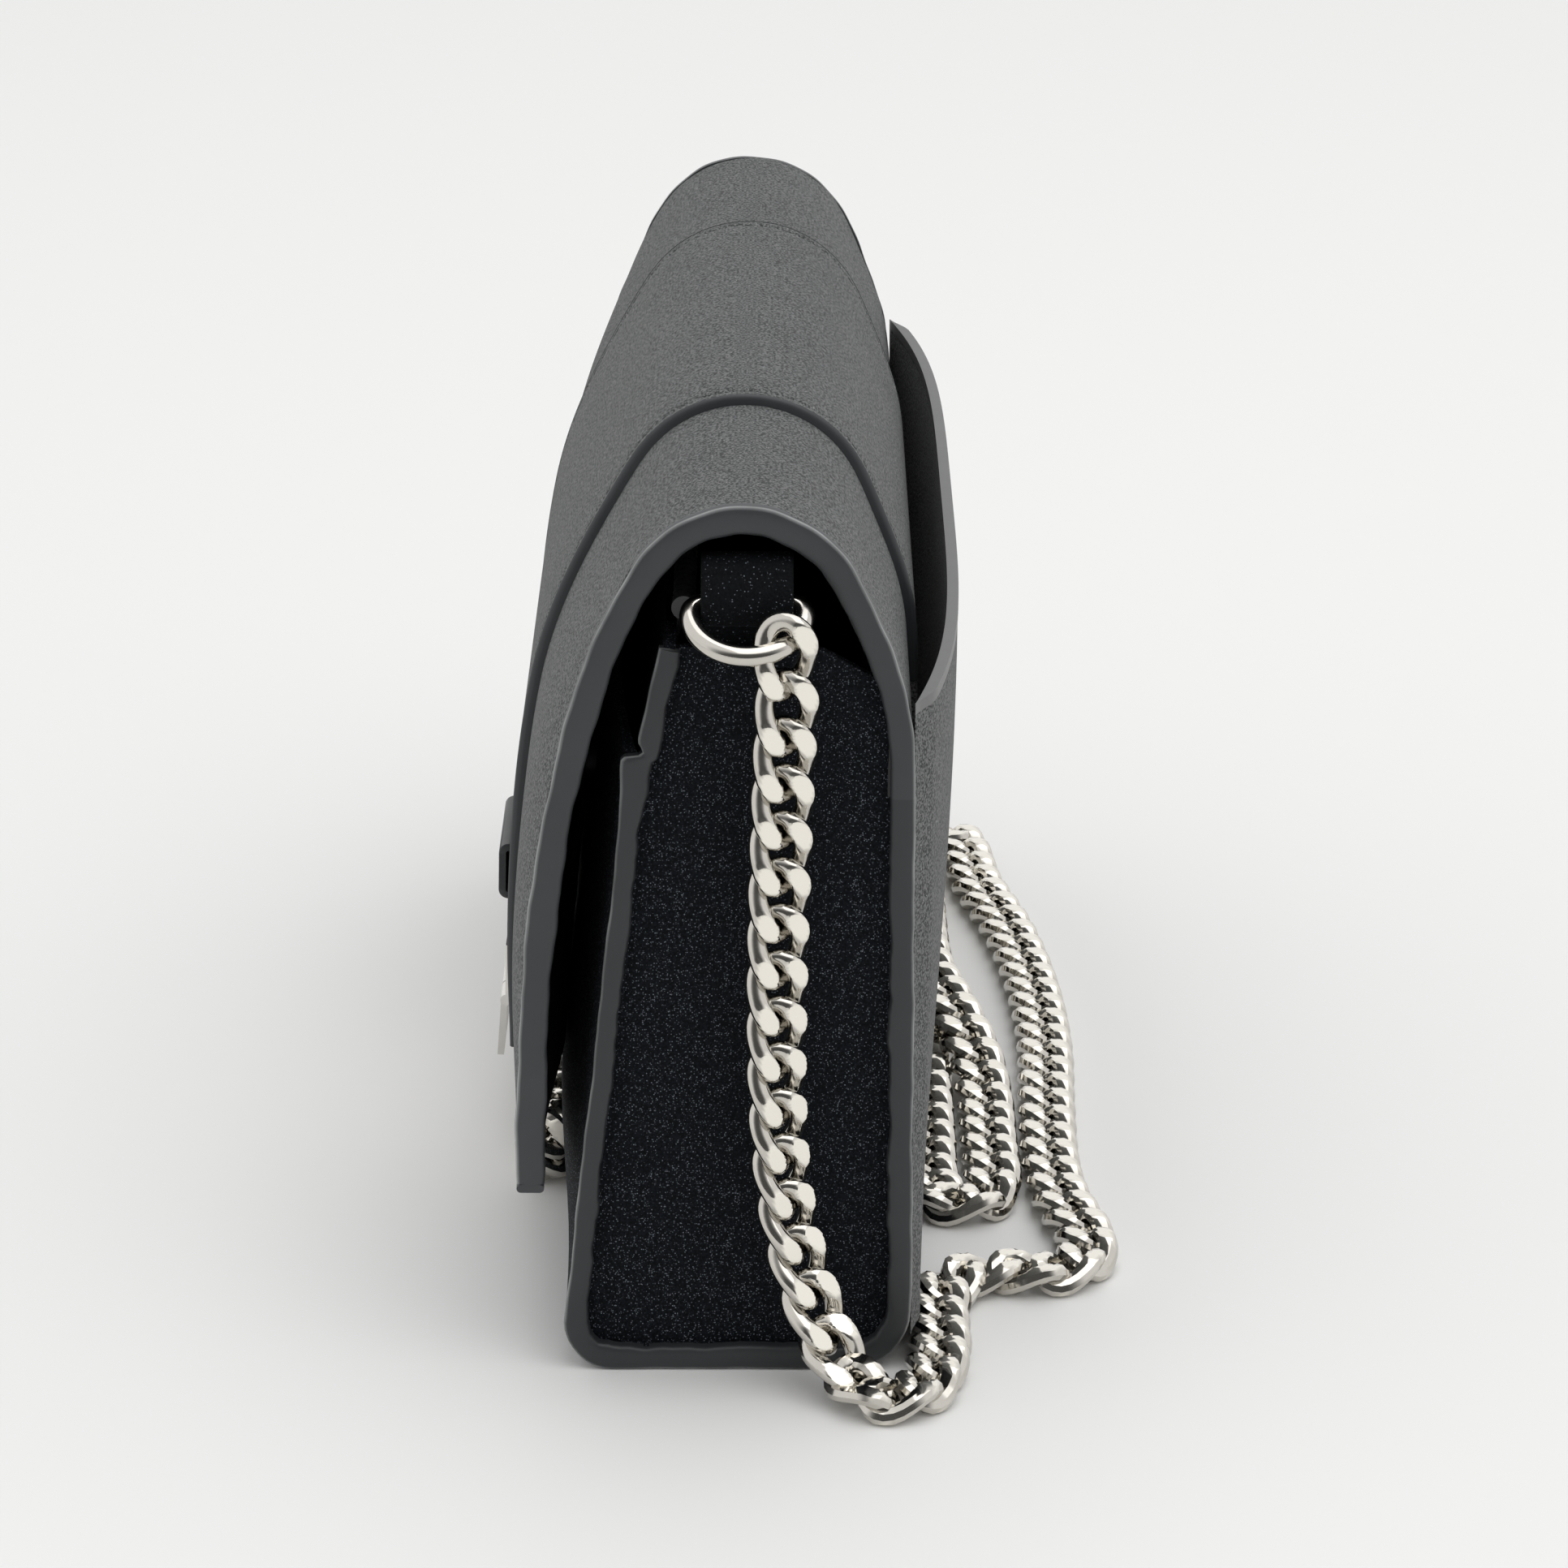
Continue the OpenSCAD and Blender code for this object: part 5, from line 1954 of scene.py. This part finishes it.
@dataclass
class Interior:
    """Lining, inner pocket and base board."""

    bag: BagShape
    wardrobe: Wardrobe
    lining_top: float = 90.8 * MM
    lining_t: float = 0.8 * MM
    gap: float = 0.3 * MM
    board: float = 1.6 * MM
    reach: float = 98.7 * MM
    pocket_w: float = 120 * MM
    pocket_h: float = 50 * MM
    pocket_drop: float = 6 * MM
    pocket_round: float = 0.3 * MM

    def lining_line(self, depth: float) -> Array:
        """The body's line moved inside the walls and over the board.

        Args:
            depth: How far it lies below the lining's outer face.

        Returns:
            Points in Y and Z, from the front's top to the back's top.
        """
        strip = self.bag.strip
        line = self.bag.body_line(strip + self.gap + depth, self.lining_top, self.lining_top)
        line[:, 1] = np.maximum(line[:, 1], strip + self.board + depth)
        return line

    def lining(self) -> bpy.types.Object:
        """The lining: its outer and its inner line, carried along X.

        Returns:
            The finished piece.
        """
        outer, inner = self.lining_line(0.0), self.lining_line(self.lining_t)
        piece = walled("lining_sheet", outer, inner, np.linspace(-self.reach, self.reach, 31))
        obj = self.wardrobe.complete(piece, self.wardrobe.lining, Body.BAG, "body_lining")
        return obj

    def pocket(self) -> bpy.types.Object:
        """The inner slip pocket: a thin upright sheet with round edges, on the lining's face.

        Returns:
            The finished piece.
        """
        face = self.bag.back - self.bag.strip - self.gap - 1.5 * self.lining_t
        top = self.lining_top - self.pocket_drop
        section = round_rect(self.pocket_w, self.lining_t, self.pocket_round)
        path = upright(face, np.linspace(top - self.pocket_h, top, 16))
        piece = Surface("inner_pocket_cloth").tube(swept(path, X_AXIS, Y_AXIS, section))
        obj = self.wardrobe.complete(piece, self.wardrobe.lining, Body.BAG, "inner_pocket")
        return obj

    def build(self) -> list[bpy.types.Object]:
        """Makes the inside, and dresses the packed base board."""
        self.wardrobe.dress_nodes(self.wardrobe.board, "base_board")
        return [self.lining(), self.pocket()]


@dataclass
class FrontHardware:
    """The leather loop, clasp and snap on the flap's front."""

    wardrobe: Wardrobe
    loop_w: float = 23 * MM
    loop_h: float = 9 * MM
    loop_d: float = 3.0 * MM
    loop_t: float = 1.1 * MM
    loop_steps: int = 6
    rim: tuple[float, float] = (0.985, 0.93)
    sink: float = 0.3 * MM
    lean: float = 1.39

    def loop(self) -> bpy.types.Object:
        """The leather loop: a flattened tube along X, its outer and inner ovals joined at both ends.

        Returns:
            The finished piece.
        """
        lo, hi = (np.array(corner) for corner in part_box("band_loop"))
        middle = (lo + hi) / 2 + self.sink * Y_AXIS
        lean = math.radians(self.lean)
        up = np.array([0.0, math.sin(lean), math.cos(lean)])
        out = np.array([0.0, math.cos(lean), -math.sin(lean)])
        oval, hole = (
            round_rect(self.loop_d - 2 * t, self.loop_h - 2 * t, self.loop_d / 2 - t, self.loop_steps)
            for t in (0.0, self.loop_t)
        )
        rim_at, rim_size = self.rim
        ends = np.array([-1.0, -rim_at, rim_at, 1.0]) * self.loop_w / 2
        round_off = np.array([rim_size, 1.0, 1.0, rim_size])[:, None, None]
        path = middle + ends[:, None] * X_AXIS
        outer, inner = swept(path, out, up, oval * round_off), swept(path, out, up, hole)
        piece = Surface("loop_leather").loop(np.concatenate([outer, inner[::-1]]))
        return self.wardrobe.complete(piece, self.wardrobe.loop, Body.FLAP, "band_loop")

    def build(self) -> list[bpy.types.Object]:
        """Makes the loop, and dresses the packed metal.

        Returns:
            The finished piece.
        """
        self.wardrobe.dress_nodes(self.wardrobe.hardware, "clasp_plate", "clasp_pin", "clasp_lever")
        self.wardrobe.dress_nodes(self.wardrobe.snap, "flap_snap", "body_snap")
        return [self.loop()]


@dataclass(frozen=True)
class Lamp:
    """A square soft lamp: where it hangs, its side in metres and its power in watts."""

    name: str
    at: Triple
    size: float
    power: float


@dataclass
class Studio:
    """The camera, floor, lamps and world."""

    camera_at: Triple = (866.5 * MM, 7.0 * MM, 353.5 * MM)
    pitch: float = 19.2
    focal_px: float = 7225.0
    frame_px: float = 1932.0
    sensor: float = 36.0
    far_clip: float = 30.0
    backdrop: Triple = (0.89, 0.89, 0.88)
    floor_reach: float = 6.0
    floor_drop: float = 0.2 * MM
    lamps: tuple[Lamp, ...] = (
        Lamp("key_lamp", (0.6, 0.45, 1.5), 1.4, 5.6),
        Lamp("top_lamp", (-0.4, 0.1, 1.7), 1.6, 5.6),
    )
    aim: Triple = (0.0, 0.0, 0.06)
    level: Triple = (0.0, 1.0, 0.02)
    fill: float = 0.74
    seen: float = 0.95
    camera_side: tuple[float, float] = (0.5, 0.88)
    camera_side_level: float = 0.1

    def place(
        self, name: str, data: bpy.types.ID, at: Triple, right: Array, back: Array
    ) -> bpy.types.Object:
        """Adds a camera or a lamp to the scene.

        Args:
            name: Its name.
            data: Its camera or light.
            at: Where it stands.
            right: The direction to its right.
            back: The direction behind it.

        Returns:
            The object.
        """
        obj = bpy.data.objects.new(name, data)
        bpy.context.scene.collection.objects.link(obj)
        turn = np.stack([right, np.cross(back, right), back], axis=1)
        obj.matrix_world = Matrix.Translation(at) @ Matrix(turn.tolist()).to_4x4()
        return obj

    def camera(self) -> None:
        """Places the camera at the bag's right end, looking along -X and down."""
        data = bpy.data.cameras.new("camera")
        data.sensor_width = self.sensor
        data.lens = self.sensor * self.focal_px / self.frame_px
        data.clip_end = self.far_clip
        down = math.radians(self.pitch)
        back = np.array([math.cos(down), 0.0, math.sin(down)])
        bpy.context.scene.camera = self.place("camera", data, self.camera_at, Y_AXIS, back)

    def floor(self) -> None:
        """Lays a wide pale floor, a little below the base."""
        ends = np.array([-self.floor_reach, self.floor_reach])
        corners = np.stack(np.broadcast_arrays(ends[None], ends[:, None], -self.floor_drop), axis=-1)
        piece = Surface("floor")
        piece.grid(corners)
        obj = piece.build()
        shader = Shader("pale_floor")
        colour = (*self.backdrop, 1.0)
        shader.constants({"Base Color": colour, "Roughness": 0.55, "Specular IOR Level": 0.2})
        obj.data.materials.append(shader.material)

    def hang(self, lamp: Lamp) -> None:
        """Hangs a lamp and aims it at the bag's middle.

        Args:
            lamp: The lamp.
        """
        data = bpy.data.lights.new(lamp.name, "AREA")
        data.size = lamp.size
        data.energy = lamp.power
        back = unit(np.array(lamp.at) - np.array(self.aim))
        self.place(lamp.name, data, lamp.at, unit(np.cross(self.level, back)), back)

    def world(self) -> None:
        """Sets a pale surround, which metal reflects as seen, with a darker room behind the camera."""
        world = bpy.data.worlds.new("surround")
        world.use_nodes = True
        nodes = Nodes(world.node_tree)
        background = world.node_tree.nodes["Background"].inputs
        rays = nodes.add("LightPath").outputs
        mirrored = nodes.math("MAXIMUM", rays["Is Glossy Ray"], rays["Is Transmission Ray"])
        shown = nodes.math("MAXIMUM", rays["Is Camera Ray"], mirrored)
        level = nodes.math("ADD", nodes.math("MULTIPLY", shown, self.seen - self.fill), self.fill)
        split = nodes.add("SeparateXYZ")
        nodes.put(nodes.add("TexCoord").outputs["Generated"], split.inputs["Vector"])
        behind = nodes.add("MapRange")
        behind.interpolation_type = "SMOOTHSTEP"
        near, far = self.camera_side
        dark = 1 - self.camera_side_level
        feeds = {"Value": split.outputs["X"], "From Min": near, "From Max": far, "To Max": dark}
        for socket, feed in feeds.items():
            nodes.put(feed, behind.inputs[socket])
        dim = nodes.math("MULTIPLY", rays["Is Glossy Ray"], behind.outputs["Result"])
        nodes.put((1.0, 1.0, 1.0, 1.0), background["Color"])
        nodes.put(nodes.math("MULTIPLY", level, nodes.math("SUBTRACT", 1.0, dim)), background["Strength"])
        bpy.context.scene.world = world

    def build(self) -> None:
        """Sets the camera, the floor and the light."""
        bpy.context.scene.view_settings.view_transform = "Standard"
        self.camera()
        self.floor()
        for lamp in self.lamps:
            self.hang(lamp)
        self.world()


def main() -> None:
    """Builds the studio and every piece in order, and reports each."""
    logging.basicConfig(level=logging.INFO, format="%(name)s: %(message)s")
    Studio().build()
    wardrobe = Wardrobe()
    bag = BagShape()
    strap = ChainStrap(wardrobe)
    makers = (
        strap,
        BodyPanels(bag, wardrobe),
        Flap(bag, FlapShape(bag), wardrobe),
        Hangers(bag, wardrobe, strap),
        Zip(wardrobe),
        Interior(bag, wardrobe),
        FrontHardware(wardrobe),
    )
    for maker in makers:
        for piece in maker.build():
            LOG.info("%s: %s has %d faces", type(maker).__name__, piece.name, len(piece.data.polygons))


if __name__ == "__main__":
    main()
